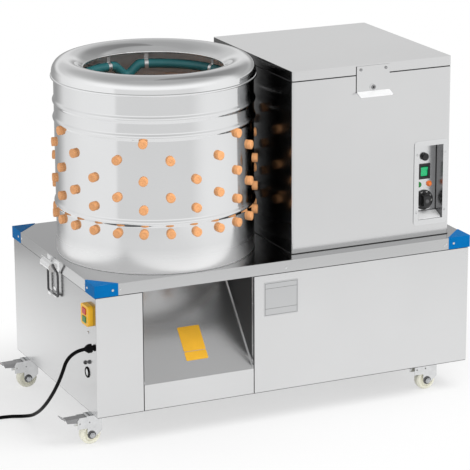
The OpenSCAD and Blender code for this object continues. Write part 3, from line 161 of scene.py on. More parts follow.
def tube(name, points, radius, closed=False, straight=False, sides=6, steps=6):
    """A round tube along points, in millimetres, that passes through each of them, smoothly or straight."""
    curve = bpy.data.curves.new(name, "CURVE")
    curve.dimensions = "3D"
    curve.bevel_depth = 1.0
    curve.bevel_resolution = sides
    curve.resolution_u = steps
    curve.use_fill_caps = True
    spots = [at(*p) for p in points]
    last = len(spots) - 1
    spline = curve.splines.new("POLY" if straight else "BEZIER")
    knots = spline.points if straight else spline.bezier_points
    knots.add(last)
    spline.use_cyclic_u = closed
    for i, (knot, spot) in enumerate(zip(knots, spots)):
        knot.radius = radius * MM
        if straight:
            knot.co = (*spot, 1)
            continue
        lean = (spots[min(i + 1, last)] - spots[max(i - 1, 0)]) / 6
        knot.handle_left_type = knot.handle_right_type = "FREE"
        knot.co, knot.handle_left, knot.handle_right = spot, spot - lean, spot + lean
    return curve


# Power cord: from the gland to the floor, out of view, then into its coil
CORD_D = 9.0
ROUTE = [
    (0, 13.5, 261), (-22, 13.5, 261), (-42, 15, 257.2), (-58.5, 19.5, 246), (-68, 27, 228.5),
    (-72, 37.5, 205), (-75.5, 55.5, 175), (-79, 85, 138), (-80.5, 124, 101), (-80, 166, 69), (-78, 210, 42),
    (-80.5, 250, 20.5), (-92, 283, 8.5), (-119, 304, 4.7), (-158, 308, 4.7), (-198, 308, 4.7),
    (-238, 308, 4.7),
]
COIL_R, COIL_TURNS, COIL_CLIMB, COIL_STEPS = 52.0, 2, 0.5, 24
COIL_PITCH = COIL_RISE = CORD_D + 0.8
COIL_OUTER = COIL_R + COIL_PITCH * COIL_TURNS / 2
TAIL_STEPS = (16, 32)
TAIL_SHIFT = 0.4


def coil_point(turns):
    """A point of the coil: inwards on the floor, then a climb on to the first layer, and outwards again."""
    x, y, z = ROUTE[-1]
    half_climb = COIL_CLIMB / 2
    if turns <= COIL_TURNS:
        r = COIL_OUTER - COIL_PITCH * turns
    elif turns <= COIL_TURNS + COIL_CLIMB:
        r = COIL_OUTER - COIL_PITCH * (COIL_TURNS + half_climb - abs(turns - COIL_TURNS - half_climb))
    else:
        r = COIL_OUTER - COIL_PITCH * COIL_TURNS + COIL_PITCH * (turns - COIL_TURNS - COIL_CLIMB)
    a = math.radians(-90 - 360 * turns)
    climb = min(1, max(0, (turns - COIL_TURNS) / COIL_CLIMB))
    return (x + r * math.cos(a), y + COIL_OUTER + r * math.sin(a), z + COIL_RISE * climb)


coil_count = round((2 * COIL_TURNS + COIL_CLIMB) * COIL_STEPS)
coil = [coil_point(i / COIL_STEPS) for i in range(1, coil_count + 1)]
tail = [(coil[-1][0] + d, coil[-1][1] + TAIL_SHIFT, coil[-1][2]) for d in TAIL_STEPS]
cord = add("mains_cord", tube("mains_cord", ROUTE + coil + tail, CORD_D / 2))
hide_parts("power_cord", "cord_coil")


# Spray hose: a ring under the rim, held by its clips, with one slack stretch
HOSE_D, HOSE_RING, HOSE_Z = 24.4, 189.0, 851.5
HOSE_FIRST, HOSE_SPAN, HOSE_STEPS = 151.0, 348.0, 87
SLACK_AT, SLACK_HALF, SLACK_DIP = 89.0, 12.0, 26.0


def hose_point(turn):
    off = abs((turn - SLACK_AT + 180) % 360 - 180) / SLACK_HALF
    drop = SLACK_DIP * (1 + math.cos(math.pi * min(1, off))) / 2
    a = math.radians(turn)
    return (DRUM_X + HOSE_RING * math.cos(a), DRUM_Y + HOSE_RING * math.sin(a), HOSE_Z - drop)


hose_path = [hose_point(HOSE_FIRST + HOSE_SPAN * i / HOSE_STEPS) for i in range(HOSE_STEPS + 1)]
hose = add("water_hose", tube("water_hose", hose_path, HOSE_D / 2))
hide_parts("spray_hose")


# Seals: a gasket under the lid, and sealant where the tank and the drum stand on the deck
TANK_LOW, TANK_HIGH, TANK_TOP = (547.0, 41.0), (992.5, 518.0), 859.5
TANK_EDGE_R = 5.0
LID_GAP = 3.0
GASKET_IN, GASKET_W = 0.8, 7.0
SEALANT_R, SEALANT_UP, SEALANT_POINTS = 1.3, 0.65, 96
ARC_STEPS, LEAST_R = 6, 0.5


def rounded(low, high, r):
    """Points round a rectangle with rounded corners, in millimetres."""
    points = []
    for x, y, first in (
        (high[0] - r, high[1] - r, 0), (low[0] + r, high[1] - r, 90), (low[0] + r, low[1] + r, 180),
        (high[0] - r, low[1] + r, 270),
    ):
        for i in range(ARC_STEPS + 1):
            a = math.radians(first + 90 * i / ARC_STEPS)
            points.append((x + r * math.cos(a), y + r * math.sin(a)))
    return points


def inset(low, high, by, r):
    return rounded((low[0] + by, low[1] + by), (high[0] - by, high[1] - by), max(LEAST_R, r - by))


def gasket_mesh():
    outer = inset(TANK_LOW, TANK_HIGH, GASKET_IN, TANK_EDGE_R)
    inner = inset(TANK_LOW, TANK_HIGH, GASKET_IN + GASKET_W, TANK_EDGE_R)
    bm = bmesh.new()
    rows = [
        [bm.verts.new(at(x, y, z)) for x, y in outline]
        for outline, z in (
            (outer, TANK_TOP), (outer, TANK_TOP + LID_GAP), (inner, TANK_TOP + LID_GAP), (inner, TANK_TOP),
        )
    ]
    join_rows(bm, rows + rows[:1])
    bmesh.ops.recalc_face_normals(bm, faces=bm.faces)
    return mesh_from("lid_gasket", bm)


def circle(x, y, r):
    turns = [2 * math.pi * i / SEALANT_POINTS for i in range(SEALANT_POINTS)]
    return [(x + r * math.cos(a), y + r * math.sin(a)) for a in turns]


def sealant(name, outline):
    points = [(x, y, DECK_Z + SEALANT_UP) for x, y in outline]
    return add(name, tube(name, points, SEALANT_R, closed=True, straight=True, sides=2))


gasket = add("lid_gasket", gasket_mesh(), "lid")
tank_sealant = sealant("tank_sealant", rounded(TANK_LOW, TANK_HIGH, TANK_EDGE_R))
drum_sealant = sealant("drum_sealant", circle(DRUM_X, DRUM_Y, DRUM_R))


# Drum wall: a sheet with soft rolled beads, and the rolled edge of the rim over it
SHEET = 1.5
WALL_LOW, WALL_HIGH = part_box("drum_shell")[0][2] / MM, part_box("drum_shell")[1][2] / MM
BEAD_HEIGHTS = [DECK_Z + z for z in (128.5, 343.0, 386.5)]
BEAD_OUT, BEAD_HALF, BEAD_STEPS = 4.0, 11.0, 16
RIM_EDGE_R, RIM_EDGE_Z, RIM_EDGE_ROLL, RIM_EDGE_POINTS = 254.3, 866.4, 3.3, 16
WALL_SEGMENTS = 192


def wall_mesh():
    heights = [WALL_LOW]
    for middle in BEAD_HEIGHTS:
        heights += [middle + BEAD_HALF * (2 * i / BEAD_STEPS - 1) for i in range(BEAD_STEPS + 1)]
    heights.append(WALL_HIGH)

    def out(z):
        off = min(1.0, min(abs(z - middle) for middle in BEAD_HEIGHTS) / BEAD_HALF)
        return DRUM_R + BEAD_OUT * (1 + math.cos(math.pi * off)) / 2

    profile = [(out(z), z) for z in heights] + [(out(z) - SHEET, z) for z in reversed(heights)]
    bm = bmesh.new()
    lathe(bm, profile, WALL_SEGMENTS, Matrix.Translation(at(DRUM_X, DRUM_Y, 0)))
    return smooth_mesh("drum_wall", bm)


def rim_edge_mesh():
    turns = [2 * math.pi * i / RIM_EDGE_POINTS for i in range(RIM_EDGE_POINTS)]
    profile = [
        (RIM_EDGE_R + RIM_EDGE_ROLL * math.cos(a), RIM_EDGE_Z + RIM_EDGE_ROLL * math.sin(a)) for a in turns
    ]
    bm = bmesh.new()
    lathe(bm, profile, WALL_SEGMENTS, Matrix.Translation(at(DRUM_X, DRUM_Y, 0)))
    return smooth_mesh("rim_rolled_edge", bm)


wall = add("drum_wall", wall_mesh())
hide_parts("drum_shell")
rim_edge = add("rim_rolled_edge", rim_edge_mesh())


# Heads of the plucking fingers, on the outside of the drum
FINGER_COLUMNS, FINGER_TURN = 24, -29.0
FINGER_ROWS = [
    (101.5, 1, 0), (162.5, 2, 0), (192.5, 2, 1), (234.5, 2, 0), (284.5, 2, 1), (328.0, 4, 0),
]
HEAD_PROFILE = [
    (11.4, -0.9), (11.4, 7.4), (11.0, 8.5), (9.9, 9.2), (4.8, 9.2), (4.0, 8.8), (3.2, 9.2), (0.4, 9.2),
]
HEAD_SEGMENTS = 28
DOWN = Vector((0, 0, -1))


def finger_heads_mesh():
    bm = bmesh.new()
    for height, step, first in FINGER_ROWS:
        for column in range(0, FINGER_COLUMNS, step):
            turn = math.radians(FINGER_TURN - 90 + (column + first) * 360 / FINGER_COLUMNS)
            outward = Vector((math.cos(turn), math.sin(turn), 0))
            spot = at(DRUM_X + DRUM_R * outward.x, DRUM_Y + DRUM_R * outward.y, DECK_Z + height)
            place = placed(spot, DOWN, outward.cross(DOWN))
            lathe(bm, HEAD_PROFILE, HEAD_SEGMENTS, place, closed=False)
    return smooth_mesh("finger_heads", bm)


heads = add("finger_heads", finger_heads_mesh())


# Dark strips in the seams of the cabinet's sheets, under the deck's flange, along the cabinet's foot and in
# the control recess's corners: painted shade in these gaps and edges
PANEL_TOP, FLANGE_LOW, PANEL_LOW = 387.5, 390.0, 83.0
CHUTE_LEFT, CHUTE_RIGHT, SEAM_W = 126.5, 422.0, 2.5
SEAM_IN, SEAM_OUT = 2.6, 4.4
FOOT_H = 1.6
RECESS = ((904.0, 76.0, 478.5), (974.0, 41.0, 659.5))
LINE_W, LINE_IN = 1.3, 0.2


def seam_boxes():
    far_x, far_y = DECK_L - SEAM_IN, DECK_D - SEAM_IN
    boxes = [
        ((CHUTE_LEFT - SEAM_W, SEAM_IN, PANEL_LOW), (CHUTE_LEFT, SEAM_OUT, PANEL_TOP)),
        ((CHUTE_RIGHT, SEAM_IN, PANEL_LOW), (CHUTE_RIGHT + SEAM_W, SEAM_OUT, PANEL_TOP)),
        ((SEAM_IN, SEAM_IN, PANEL_TOP), (CHUTE_LEFT, SEAM_OUT, FLANGE_LOW)),
        ((CHUTE_RIGHT, SEAM_IN, PANEL_TOP), (far_x, SEAM_OUT, FLANGE_LOW)),
    ]
    for z0, z1 in ((PANEL_TOP, FLANGE_LOW), (PANEL_LOW - FOOT_H, PANEL_LOW)):
        boxes += [
            ((SEAM_IN, SEAM_OUT, z0), (SEAM_OUT, far_y, z1)),
            ((DECK_L - SEAM_OUT, SEAM_OUT, z0), (far_x, far_y, z1)),
            ((SEAM_OUT, DECK_D - SEAM_OUT, z0), (DECK_L - SEAM_OUT, far_y, z1)),
        ]
    boxes.append(((SEAM_IN, SEAM_IN, PANEL_LOW - FOOT_H), (far_x, SEAM_OUT, PANEL_LOW)))
    (left, back, low), (right_x, _, high) = RECESS
    boxes.append(((right_x - LINE_W, back - LINE_W, low), (right_x + LINE_IN, back + LINE_IN, high)))
    boxes.append(((left - LINE_IN, back - LINE_W, low - LINE_IN), (right_x, back + LINE_IN, low + LINE_W)))
    return boxes


seams = add("seam_shade_strips", boxes_mesh("seam_shade_strips", seam_boxes()))


# Latch bail: a wire that leaves the lever, turns in to the panel and hangs straight down to the keeper
BAIL_Y, BAIL_HALF, BAIL_R, BAIL_IN = 277.0, 35.0, 3.0, 7.5
BAIL_SIDE = [
    (-15.0, 409.0), (-14.0, 403.5), (-10.2, 396.5), (-6.4, 389.5), (-4.7, 381.0), (-4.5, 372.0),
    (-4.5, 345.0), (-4.5, 333.0),
]
BAIL_BAR = (-4.5, 325.7)
BAIL_CORNER, BAIL_SINK, BAIL_FOOT_IN = 5.0, 2.0, 1.6
BAIL_TURN_IN = (-0.1, 0.8, -1.2)


def bail_points():
    near = BAIL_Y - BAIL_HALF
    (x, z), (bar_x, bar_z) = BAIL_SIDE[0], BAIL_BAR
    turn_x, turn_y, turn_z = BAIL_TURN_IN
    down = [(px, near, pz) for px, pz in BAIL_SIDE[1:]]
    path = [(x, near + BAIL_IN, z), (x, near + BAIL_CORNER / 2, z)]
    path += [(x + turn_x, near + turn_y, z + turn_z), *down]
    path += [(bar_x, near + BAIL_FOOT_IN, bar_z + BAIL_SINK), (bar_x, near + BAIL_CORNER + BAIL_SINK, bar_z)]
    back = [(px, 2 * BAIL_Y - py, pz) for px, py, pz in reversed(path)]
    return path + [(bar_x, BAIL_Y, bar_z)] + back


bail = add("bail_wire", tube("bail_wire", bail_points(), BAIL_R, sides=4, steps=4), "bail")
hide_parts("latch_bail")


# Axle nuts and washers of the casters; the washers' black is partly their own and partly painted shade, the
# fork cheek's shadow round the hub
ROUND, HEXAGON = 32, 6
CASTER_SPOTS = {
    "front_left": (31.0, 57.0), "back_left": (31.0, 514.0), "front_right": (970.5, 57.0),
    "back_right": (970.5, 514.0),
}
CASTER_TRAIL, AXLE_Z, LEG_OUT = 30.0, 26.5, 15.0
WASHER_PROFILE = [(4.0, 0.2), (10.6, 0.2), (10.6, 1.5), (10.1, 1.9), (4.0, 1.9)]
NUT_PROFILE = [(7.7, 1.9), (7.7, 6.4), (6.6, 7.2), (5.0, 7.2), (5.0, 8.2), (4.4, 8.7), (0.4, 8.7)]


def axle_mesh(name, spot, profile, segments, closed):
    bm = bmesh.new()
    x, y = spot
    for side_y in (-1, 1):
        place = placed(at(x - CASTER_TRAIL, y + side_y * LEG_OUT, AXLE_Z), (1, 0, 0), (0, 0, -side_y))
        lathe(bm, profile, segments, place, closed)
    return smooth_mesh(name, bm)


washers, nuts = [], []
for corner_name, spot in CASTER_SPOTS.items():
    for kind, profile, segments, closed, kept in (
        ("axle_washer", WASHER_PROFILE, ROUND, True, washers),
        ("axle_nut", NUT_PROFILE, HEXAGON, False, nuts),
    ):
        name = f"{kind}_{corner_name}"
        made = axle_mesh(name, spot, profile, segments, closed)
        kept.append(add(name, made, f"caster_{corner_name}"))


# Left panel: nuts and washers of the earth studs, and the bright plug in the grommet below the gland
EARTH_SPOTS = [(76.0, 204.0), (48.0, 214.0)]
GROMMET_SPOT = (64.0, 182.5)
EARTH_WASHER = [(5.4, -0.2), (5.4, 0.7), (5.0, 1.0), (0.4, 1.0)]
EARTH_NUT = [(4.8, 0.9), (4.8, 3.6), (4.2, 4.1), (2.6, 4.1), (2.6, 5.0), (2.2, 5.4), (0.4, 5.4)]
PLUG_PROFILE = [(9.2, 0.6), (9.2, 1.7), (8.4, 2.2), (5.0, 2.6), (0.4, 2.6)]
STUD_SEGMENTS = 28


def left_panel_mesh(name, spots, turned):
    """Pieces turned from (profile, segments), standing out of the left panel at each (y, z)."""
    bm = bmesh.new()
    for y, z in spots:
        for profile, segments in turned:
            lathe(bm, profile, segments, placed(at(PANEL_IN, y, z), (0, -1, 0), (0, 0, 1)), closed=False)
    return smooth_mesh(name, bm)


earth_turned = [(EARTH_WASHER, STUD_SEGMENTS), (EARTH_NUT, HEXAGON)]
earth_nuts = add("earth_nuts", left_panel_mesh("earth_nuts", EARTH_SPOTS, earth_turned))
grommet_plug = add(
    "grommet_plug", left_panel_mesh("grommet_plug", [GROMMET_SPOT], [(PLUG_PROFILE, STUD_SEGMENTS)]),
)


# Splash guard between the chute and the motor, clear of the belt, in near-black: painted shade of the
# cabinet's dark inside
GUARD_X, GUARD_T = 427.0, 1.2
GUARD_OUTLINE = [(18, 110), (176, 110), (176, 292), (500, 292), (500, 388), (18, 388)]


def guard_mesh():
    bm = bmesh.new()
    rows = [[bm.verts.new(at(GUARD_X + out, y, z)) for y, z in GUARD_OUTLINE] for out in (0, GUARD_T)]
    join_rows(bm, rows)
    bm.faces.new(rows[0])
    bm.faces.new(rows[1])
    bmesh.ops.recalc_face_normals(bm, faces=bm.faces)
    return mesh_from("splash_guard", bm)


guard = add("splash_guard", guard_mesh())


# Bare plates: one with thin rules on the front panel, and two on the chute
PLATE_T, PLATE_CORNER, PLATE_EASE = 0.8, 3.0, 0.25
RATING_LOW, RATING_HIGH = (450.7, 280.5), (544.6, 368.5)
LABEL_X = (252.7, 312.0)
LABELS_ALONG = {"blank_label": (71.6, 138.0), "blank_label_low": (46.6, 70.2)}
CHUTE_LIP_Z, CHUTE_ANGLE = 148.5, math.radians(49)
RULE_W, RULE_T = 0.7, 0.06
RULE_MARGIN = 3.0
RULE_ROWS = (0.2, 0.84)


def plate_mesh(name, width, height):
    """A plate with rounded corners and eased front edges, its back on its own XY plane."""
    low, high = (-width / 2, -height / 2), (width / 2, height / 2)
    flat = rounded(low, high, PLATE_CORNER)
    eased = inset(low, high, PLATE_EASE, PLATE_CORNER)
    bm = bmesh.new()
    rows = [
        [bm.verts.new(Vector((x, y, z)) * MM) for x, y in outline]
        for outline, z in ((flat, 0), (flat, PLATE_T - PLATE_EASE), (eased, PLATE_T))
    ]
    join_rows(bm, rows)
    bm.faces.new(reversed(rows[0]))
    bm.faces.new(rows[-1])
    return mesh_from(name, bm)


def rules_mesh(name, width, height):
    """A thin frame with cross rules, printed on a plate's face."""
    x, y = width / 2 - RULE_MARGIN, height / 2 - RULE_MARGIN
    rows = [-y + 2 * y * share for share in RULE_ROWS]
    half = RULE_W / 2
    boxes = [(-x - half, level - half, x + half, level + half) for level in (-y, y, *rows)]
    boxes += [(edge - half, -y + half, edge + half, y - half) for edge in (-x, x)]
    bm = bmesh.new()
    for x0, y0, x1, y1 in boxes:
        size = [(x1 - x0) * MM, (y1 - y0) * MM, RULE_T * MM]
        add_box(bm, size, Vector(((x0 + x1) / 2, (y0 + y1) / 2, PLATE_T + RULE_T / 2)) * MM)
    return mesh_from(name, bm)


rating_size = [b - a for a, b in zip(RATING_LOW, RATING_HIGH)]
rating_x, rating_z = [(a + b) / 2 for a, b in zip(RATING_LOW, RATING_HIGH)]
rating_at = placed(at(rating_x, PANEL_IN, rating_z), (1, 0, 0), (0, 0, 1))
rating = add(
    "blank_rating_plate", plate_mesh("blank_rating_plate", *rating_size), place=rating_at
)
rules = add(
    "rating_plate_rules", rules_mesh("rating_plate_rules", *rating_size), place=rating_at
)

slope = (0, math.cos(CHUTE_ANGLE), math.sin(CHUTE_ANGLE))
labels = []
for name, (start, end) in LABELS_ALONG.items():
    middle = (start + end) / 2
    spot = at(sum(LABEL_X) / 2, PANEL_IN + middle * slope[1], CHUTE_LIP_Z + middle * slope[2])
    made = plate_mesh(name, LABEL_X[1] - LABEL_X[0], end - start)
    labels.append(add(name, made, place=placed(spot, (1, 0, 0), slope)))


# Thermostat dial: plain numbers on the knob's skirt
KNOB_X, KNOB_Y, KNOB_Z = 939.0, 72.7, 507.5
DIAL_R, DIAL_SIZE, DIAL_T = 21.6, 5.4, 0.1
DIAL_TURN = 270
DIAL_NUMBERS = (0, 30, 40, 50, 60, 70, 80, 90)


def dial_number(number, turn):
    text = bpy.data.curves.new(f"dial_{number}", "FONT")
    text.body = str(number)
    text.size = DIAL_SIZE * MM
    text.extrude = DIAL_T * MM
    text.align_x, text.align_y = "CENTER", "CENTER"
    x, z = math.sin(turn), math.cos(turn)
    spot = at(KNOB_X + DIAL_R * x, KNOB_Y, KNOB_Z + DIAL_R * z)
    return add(f"dial_{number}", text, "knob", placed(spot, (z, 0, -x), (x, 0, z)))


dial_step = math.radians(DIAL_TURN) / (len(DIAL_NUMBERS) - 1)
dial = [
    dial_number(number, i * dial_step - math.radians(DIAL_TURN) / 2) for i, number in enumerate(DIAL_NUMBERS)
]


# Cap of the thermostat knob, and the bright sheet on the lid's pull lip, a painted highlight
CAP_PROFILE = [(5.2, -0.3), (5.2, 0.5), (4.7, 0.8), (0.4, 0.8)]
PULL_LEFT, PULL_RIGHT = (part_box("lid_handle")[i][0] / MM + DECK_L / 2 for i in (0, 1))
PULL_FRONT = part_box("lid_handle")[0][1] / MM + DECK_D / 2
PULL_FLARE, PULL_DROP, PULL_T = 22.0, 9.9, 1.8
PULL_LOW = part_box("lid_handle")[0][2] / MM


def cap_mesh():
    bm = bmesh.new()
    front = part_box("thermostat_knob")[0][1]
    spot = Vector((at(KNOB_X, 0, 0).x, front, KNOB_Z * MM))
    lathe(bm, CAP_PROFILE, ROUND, placed(spot, (1, 0, 0), (0, 0, 1)), closed=False)
    return smooth_mesh("knob_cap", bm)


knob_cap = add("knob_cap", cap_mesh(), "knob")
pull_slope = Vector((0, PULL_FLARE, PULL_DROP)).normalized()
pull_spot = at((PULL_LEFT + PULL_RIGHT) / 2, PULL_FRONT + PULL_FLARE / 2, PULL_LOW + PULL_T + PULL_DROP / 2)
pull_lip = add(
    "pull_lip_sheet", plate_mesh("pull_lip_sheet", PULL_RIGHT - PULL_LEFT, math.hypot(PULL_FLARE, PULL_DROP)),
    "lid", placed(pull_spot, (1, 0, 0), pull_slope),
)


# Trim of the pull plate: a dark sheet behind its left edge, a painted shadow, a ring in its hole and two
# screw heads
PULL_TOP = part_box("lid_handle")[1][2] / MM
PULL_PLATE_T = 1.5
PULL_FACE = TANK_LOW[1] - PULL_PLATE_T
PULL_HOLE_UP = 11.5
PULL_HOLE_Z = PULL_LOW + PULL_DROP + PULL_HOLE_UP
PULL_SCREW_IN, PULL_SCREW_DOWN = 11.0, 9.0
# How far the pull plate's painted shadow sheet stands out at the left, its thickness and its gap to the tank
PULL_SHADOW_OUT, PULL_SHADOW_T, PULL_SHADOW_GAP = 1.4, 0.9, 0.05
TRIM_SEGMENTS = 24
RING_PROFILE = [(2.6, -1.0), (6.6, -1.0), (6.6, 2.5), (5.8, 3.0), (3.4, 3.0), (2.6, 2.5)]
SCREW_PROFILE = [(3.9, -0.2), (3.9, 1.4), (3.0, 2.3), (1.2, 2.5), (0.9, 1.6), (0.2, 1.6)]


def pull_trim_mesh():
    bm = bmesh.new()
    middle = (PULL_LEFT + PULL_RIGHT) / 2
    trim = [(middle, PULL_HOLE_Z, RING_PROFILE, True)]
    for x in (PULL_LEFT + PULL_SCREW_IN, PULL_RIGHT - PULL_SCREW_IN):
        trim.append((x, PULL_TOP - PULL_SCREW_DOWN, SCREW_PROFILE, False))
    for x, z, profile, closed in trim:
        lathe(bm, profile, TRIM_SEGMENTS, placed(at(x, PULL_FACE, z), (1, 0, 0), (0, 0, 1)), closed)
    return smooth_mesh("pull_trim", bm)


pull_trim = add("pull_trim", pull_trim_mesh(), "lid")
# A dark sheet just wider than the pull plate at its left: painted shadow along the plate's left edge
pull_shadow = add("pull_shadow_sheet", boxes_mesh("pull_shadow_sheet", [(
    (PULL_LEFT - PULL_SHADOW_OUT, TANK_LOW[1] - PULL_SHADOW_T, PULL_LOW + PULL_DROP),
    (PULL_RIGHT, TANK_LOW[1] - PULL_SHADOW_GAP, PULL_TOP),
)]), "lid")


# Bright sill on the sloping floor of the control recess, a painted highlight
SILL_W, SILL_D, SILL_RISE, SILL_SHORT = 69.0, 33.5, 13.0, 3.0
SILL_AT = (939.0, 59.2, 472.0)
sill_slope = Vector((0, SILL_D, SILL_RISE)).normalized()
sill = add(
    "recess_sill", plate_mesh("recess_sill", SILL_W, math.hypot(SILL_D, SILL_RISE) - SILL_SHORT),
    place=placed(at(*SILL_AT), (1, 0, 0), sill_slope),
)


# Materials
def linear(r, g, b):
    """An sRGB colour, 0 to 255, as the linear values that the shader takes."""
    return tuple(
        v / 255 / 12.92 if v <= 10 else ((v / 255 + 0.055) / 1.055) ** 2.4 for v in (r, g, b)
    )


class Shader:
    """A node material: a Principled shader with roughness, colour and bump drawn from noise."""

    def __init__(self, name):
        self.material = bpy.data.materials.new(name)
        self.material.use_nodes = True
        self.tree = self.material.node_tree
        self.bsdf = self.tree.nodes["Principled BSDF"]
        self.coords = self.node("ShaderNodeTexCoord").outputs["Object"]

    def node(self, kind, **settings):
        made = self.tree.nodes.new(kind)
        for key, value in settings.items():
            setattr(made, key, value)
        return made

    def link(self, a, b):
        self.tree.links.new(a, b)

    def set(self, **values):
        for key, value in values.items():
            self.bsdf.inputs[key.replace("_", " ")].default_value = value

    def noise(self, stretch, detail):
        mapping = self.node("ShaderNodeMapping")
        mapping.inputs["Scale"].default_value = stretch
        self.link(self.coords, mapping.inputs["Vector"])
        noise = self.node("ShaderNodeTexNoise")
        noise.inputs["Scale"].default_value = 1.0
        noise.inputs["Detail"].default_value = detail
        noise.inputs["Roughness"].default_value = NOISE_ROUGH
        self.link(mapping.outputs["Vector"], noise.inputs["Vector"])
        return noise.outputs["Fac"]

    def spread(self, value, low, high, start=0.3, end=0.7):
        made = self.node("ShaderNodeMapRange")
        for key, number in (("From Min", start), ("From Max", end), ("To Min", low), ("To Max", high)):
            made.inputs[key].default_value = number
        self.link(value, made.inputs["Value"])
        return made.outputs["Result"]

    def axis(self, letter, output="Object"):
        made = self.node("ShaderNodeSeparateXYZ")
        self.link(self.node("ShaderNodeTexCoord").outputs[output], made.inputs["Vector"])
        return made.outputs[letter]

    def mix(self, factor, a, b):
        made = self.node("ShaderNodeMix", data_type="RGBA")
        for socket, value in (("A", a), ("B", b)):
            if hasattr(value, "is_linked"):
                self.link(value, made.inputs[socket])
            else:
                made.inputs[socket].default_value = (*value, 1)
        self.link(factor, made.inputs["Factor"])
        return made.outputs["Result"]

    def add(self, a, b):
        made = self.node("ShaderNodeMath", operation="ADD")
        self.link(a, made.inputs[0])
        self.link(b, made.inputs[1])
        return made.outputs["Value"]

    def bump(self, height, strength, distance):
        made = self.node("ShaderNodeBump")
        made.inputs["Strength"].default_value = strength
        made.inputs["Distance"].default_value = distance
        self.link(height, made.inputs["Height"])
        self.link(made.outputs["Normal"], self.bsdf.inputs["Normal"])


def scaled(colour, k):
    return tuple(min(1.0, v * k) for v in colour)


def sheet_metal(
    name, colour, rough, grain=(8, 2600, 2600), spread=0.012, bump=0.006, cloud=3.0, tint=0.02, left=None,
    fade=None, top=None, low=None, foot=0.0
):
    """Sheet metal: a fine grain drawn along one way, and faint clouds of tone.

    left is a darker colour painted on a wall that faces left, painted shade, with fade the depths over which
    it sets in. top is the colour painted on a face that looks up, painted shade. low is (colour, heights):
    painted light, what the foot turns to, and over which heights. foot is how much rougher the sheet is where
    it meets the deck.
    """
    s = Shader(name)
    s.set(Metallic=1.0)
    fine = s.noise(grain, detail=4.0)
    wide = s.noise((cloud, cloud, cloud), detail=3.0)
    tone = s.mix(s.spread(wide, 0, 1), scaled(colour, 1 - tint), scaled(colour, 1 + tint))
    # Painted light: where low is given, the sheet turns towards a lighter colour at its foot.
    if low:
        painted_foot_light, rise = low
        tone = s.mix(s.spread(s.axis("Z"), 1, 0, *rise), tone, painted_foot_light)
    # Painted shade: where left is given, walls that face left take its darker colour.
    if left:
        painted_wall_shade = s.mix(s.spread(s.axis("Y"), 0, 1, *fade), tone, left) if fade else left
        tone = s.mix(s.spread(s.axis("X", "Normal"), 1, 0, *LEFT_FACING), tone, painted_wall_shade)
    # Painted shade: where top is given, faces that look up take its colour.
    if top:
        tone = s.mix(s.spread(s.axis("Z", "Normal"), 0, 1, *UP_FACING), tone, top)
    s.link(tone, s.bsdf.inputs["Base Color"])
    roughness = s.spread(fine, rough - spread, rough + spread)
    if foot:
        roughness = s.add(roughness, s.spread(s.axis("Z"), foot, 0, *FOOT_RISE))
    s.link(roughness, s.bsdf.inputs["Roughness"])
    s.bump(fine, bump, METAL_BUMP)
    return s.material


def moulded(
    name, colour, rough, grain=900.0, spread=0.08, bump=0.12, tint=0.06, cloud=20.0, islands=0.0, other=None,
    **sockets
):
    """Plastic, rubber or paint: a fine stipple, with colour that varies a little from place to place.

    other is (x, colour): the colour of what lies beyond x, in metres.
    """
    s = Shader(name)
    s.set(**sockets)
    fine = s.noise((grain, grain, grain), detail=3.0)
    wide = s.noise((cloud, cloud, cloud), detail=4.0)
    tone = s.mix(s.spread(wide, 0, 1), scaled(colour, 1 - tint), scaled(colour, 1 + tint))
    if other:
        beyond, colour_beyond = other
        tone = s.mix(s.spread(s.axis("X"), 0, 1, beyond - MM, beyond + MM), tone, colour_beyond)
    if islands:
        piece = s.node("ShaderNodeNewGeometry").outputs["Random Per Island"]
        bright = s.node("ShaderNodeHueSaturation")
        s.link(s.spread(piece, 1 - islands, 1 + islands, 0, 1), bright.inputs["Value"])
        s.link(tone, bright.inputs["Color"])
        tone = bright.outputs["Color"]
    s.link(tone, s.bsdf.inputs["Base Color"])
    s.link(s.spread(fine, rough - spread, rough + spread), s.bsdf.inputs["Roughness"])
    s.bump(fine, bump, PLASTIC_BUMP)
    return s.material


STEEL = (0.72, 0.722, 0.725)
LEFT_FACING = (-0.98, -0.8)
UP_FACING = (0.8, 0.98)
# Heights over which the left panel's painted floor reflection fades out
SIDE_PANEL_LIGHT_RISE = (PANEL_LOW * MM, PANEL_TOP * MM)
# Depths from the front over which the tank's painted dark reflection sets in on its left wall
FADE_START, FADE_END = 30.0, 130.0
LEFT_FADE = (at(0, FADE_START, 0).y, at(0, FADE_END, 0).y)
# Heights over which the drum grows rougher towards the deck, and over which its painted foot light fades out
FOOT_DULL_H, FOOT_BRIGHT_H = 110.0, 62.0
FOOT_RISE = (DECK_Z * MM, (DECK_Z + FOOT_DULL_H) * MM)
DRUM_FOOT_LIGHT_RISE = (DECK_Z * MM, (DECK_Z + FOOT_BRIGHT_H) * MM)
LAMP_MIDDLE = at(KNOB_X, 0, 0).x
NOISE_ROUGH, METAL_BUMP, PLASTIC_BUMP = 0.55, 0.0002, 0.0003
FINE, TURNED = (300, 300, 300), (40, 40, 2000)
panel = sheet_metal("satin_panel", scaled(STEEL, 0.99), 0.25)
# The left panel: a darker copy of the panel steel, painted shade, turning lighter towards its foot, a painted
# reflection of the floor.
side_panel_painted_shade_and_light = sheet_metal("side_panel_painted_shade_and_light", scaled(STEEL, 0.66), 0.25, low=(scaled(STEEL, 1.1), SIDE_PANEL_LIGHT_RISE))
# The tank's walls that face left are painted near-black, a painted dark reflection, fading in from the front.
tank_steel = sheet_metal("tank_sheet", STEEL, 0.17, spread=0.015, left=scaled(STEEL, 0.13), fade=LEFT_FADE)
tub_steel = sheet_metal("tub_sheet", STEEL, 0.22, spread=0.015)
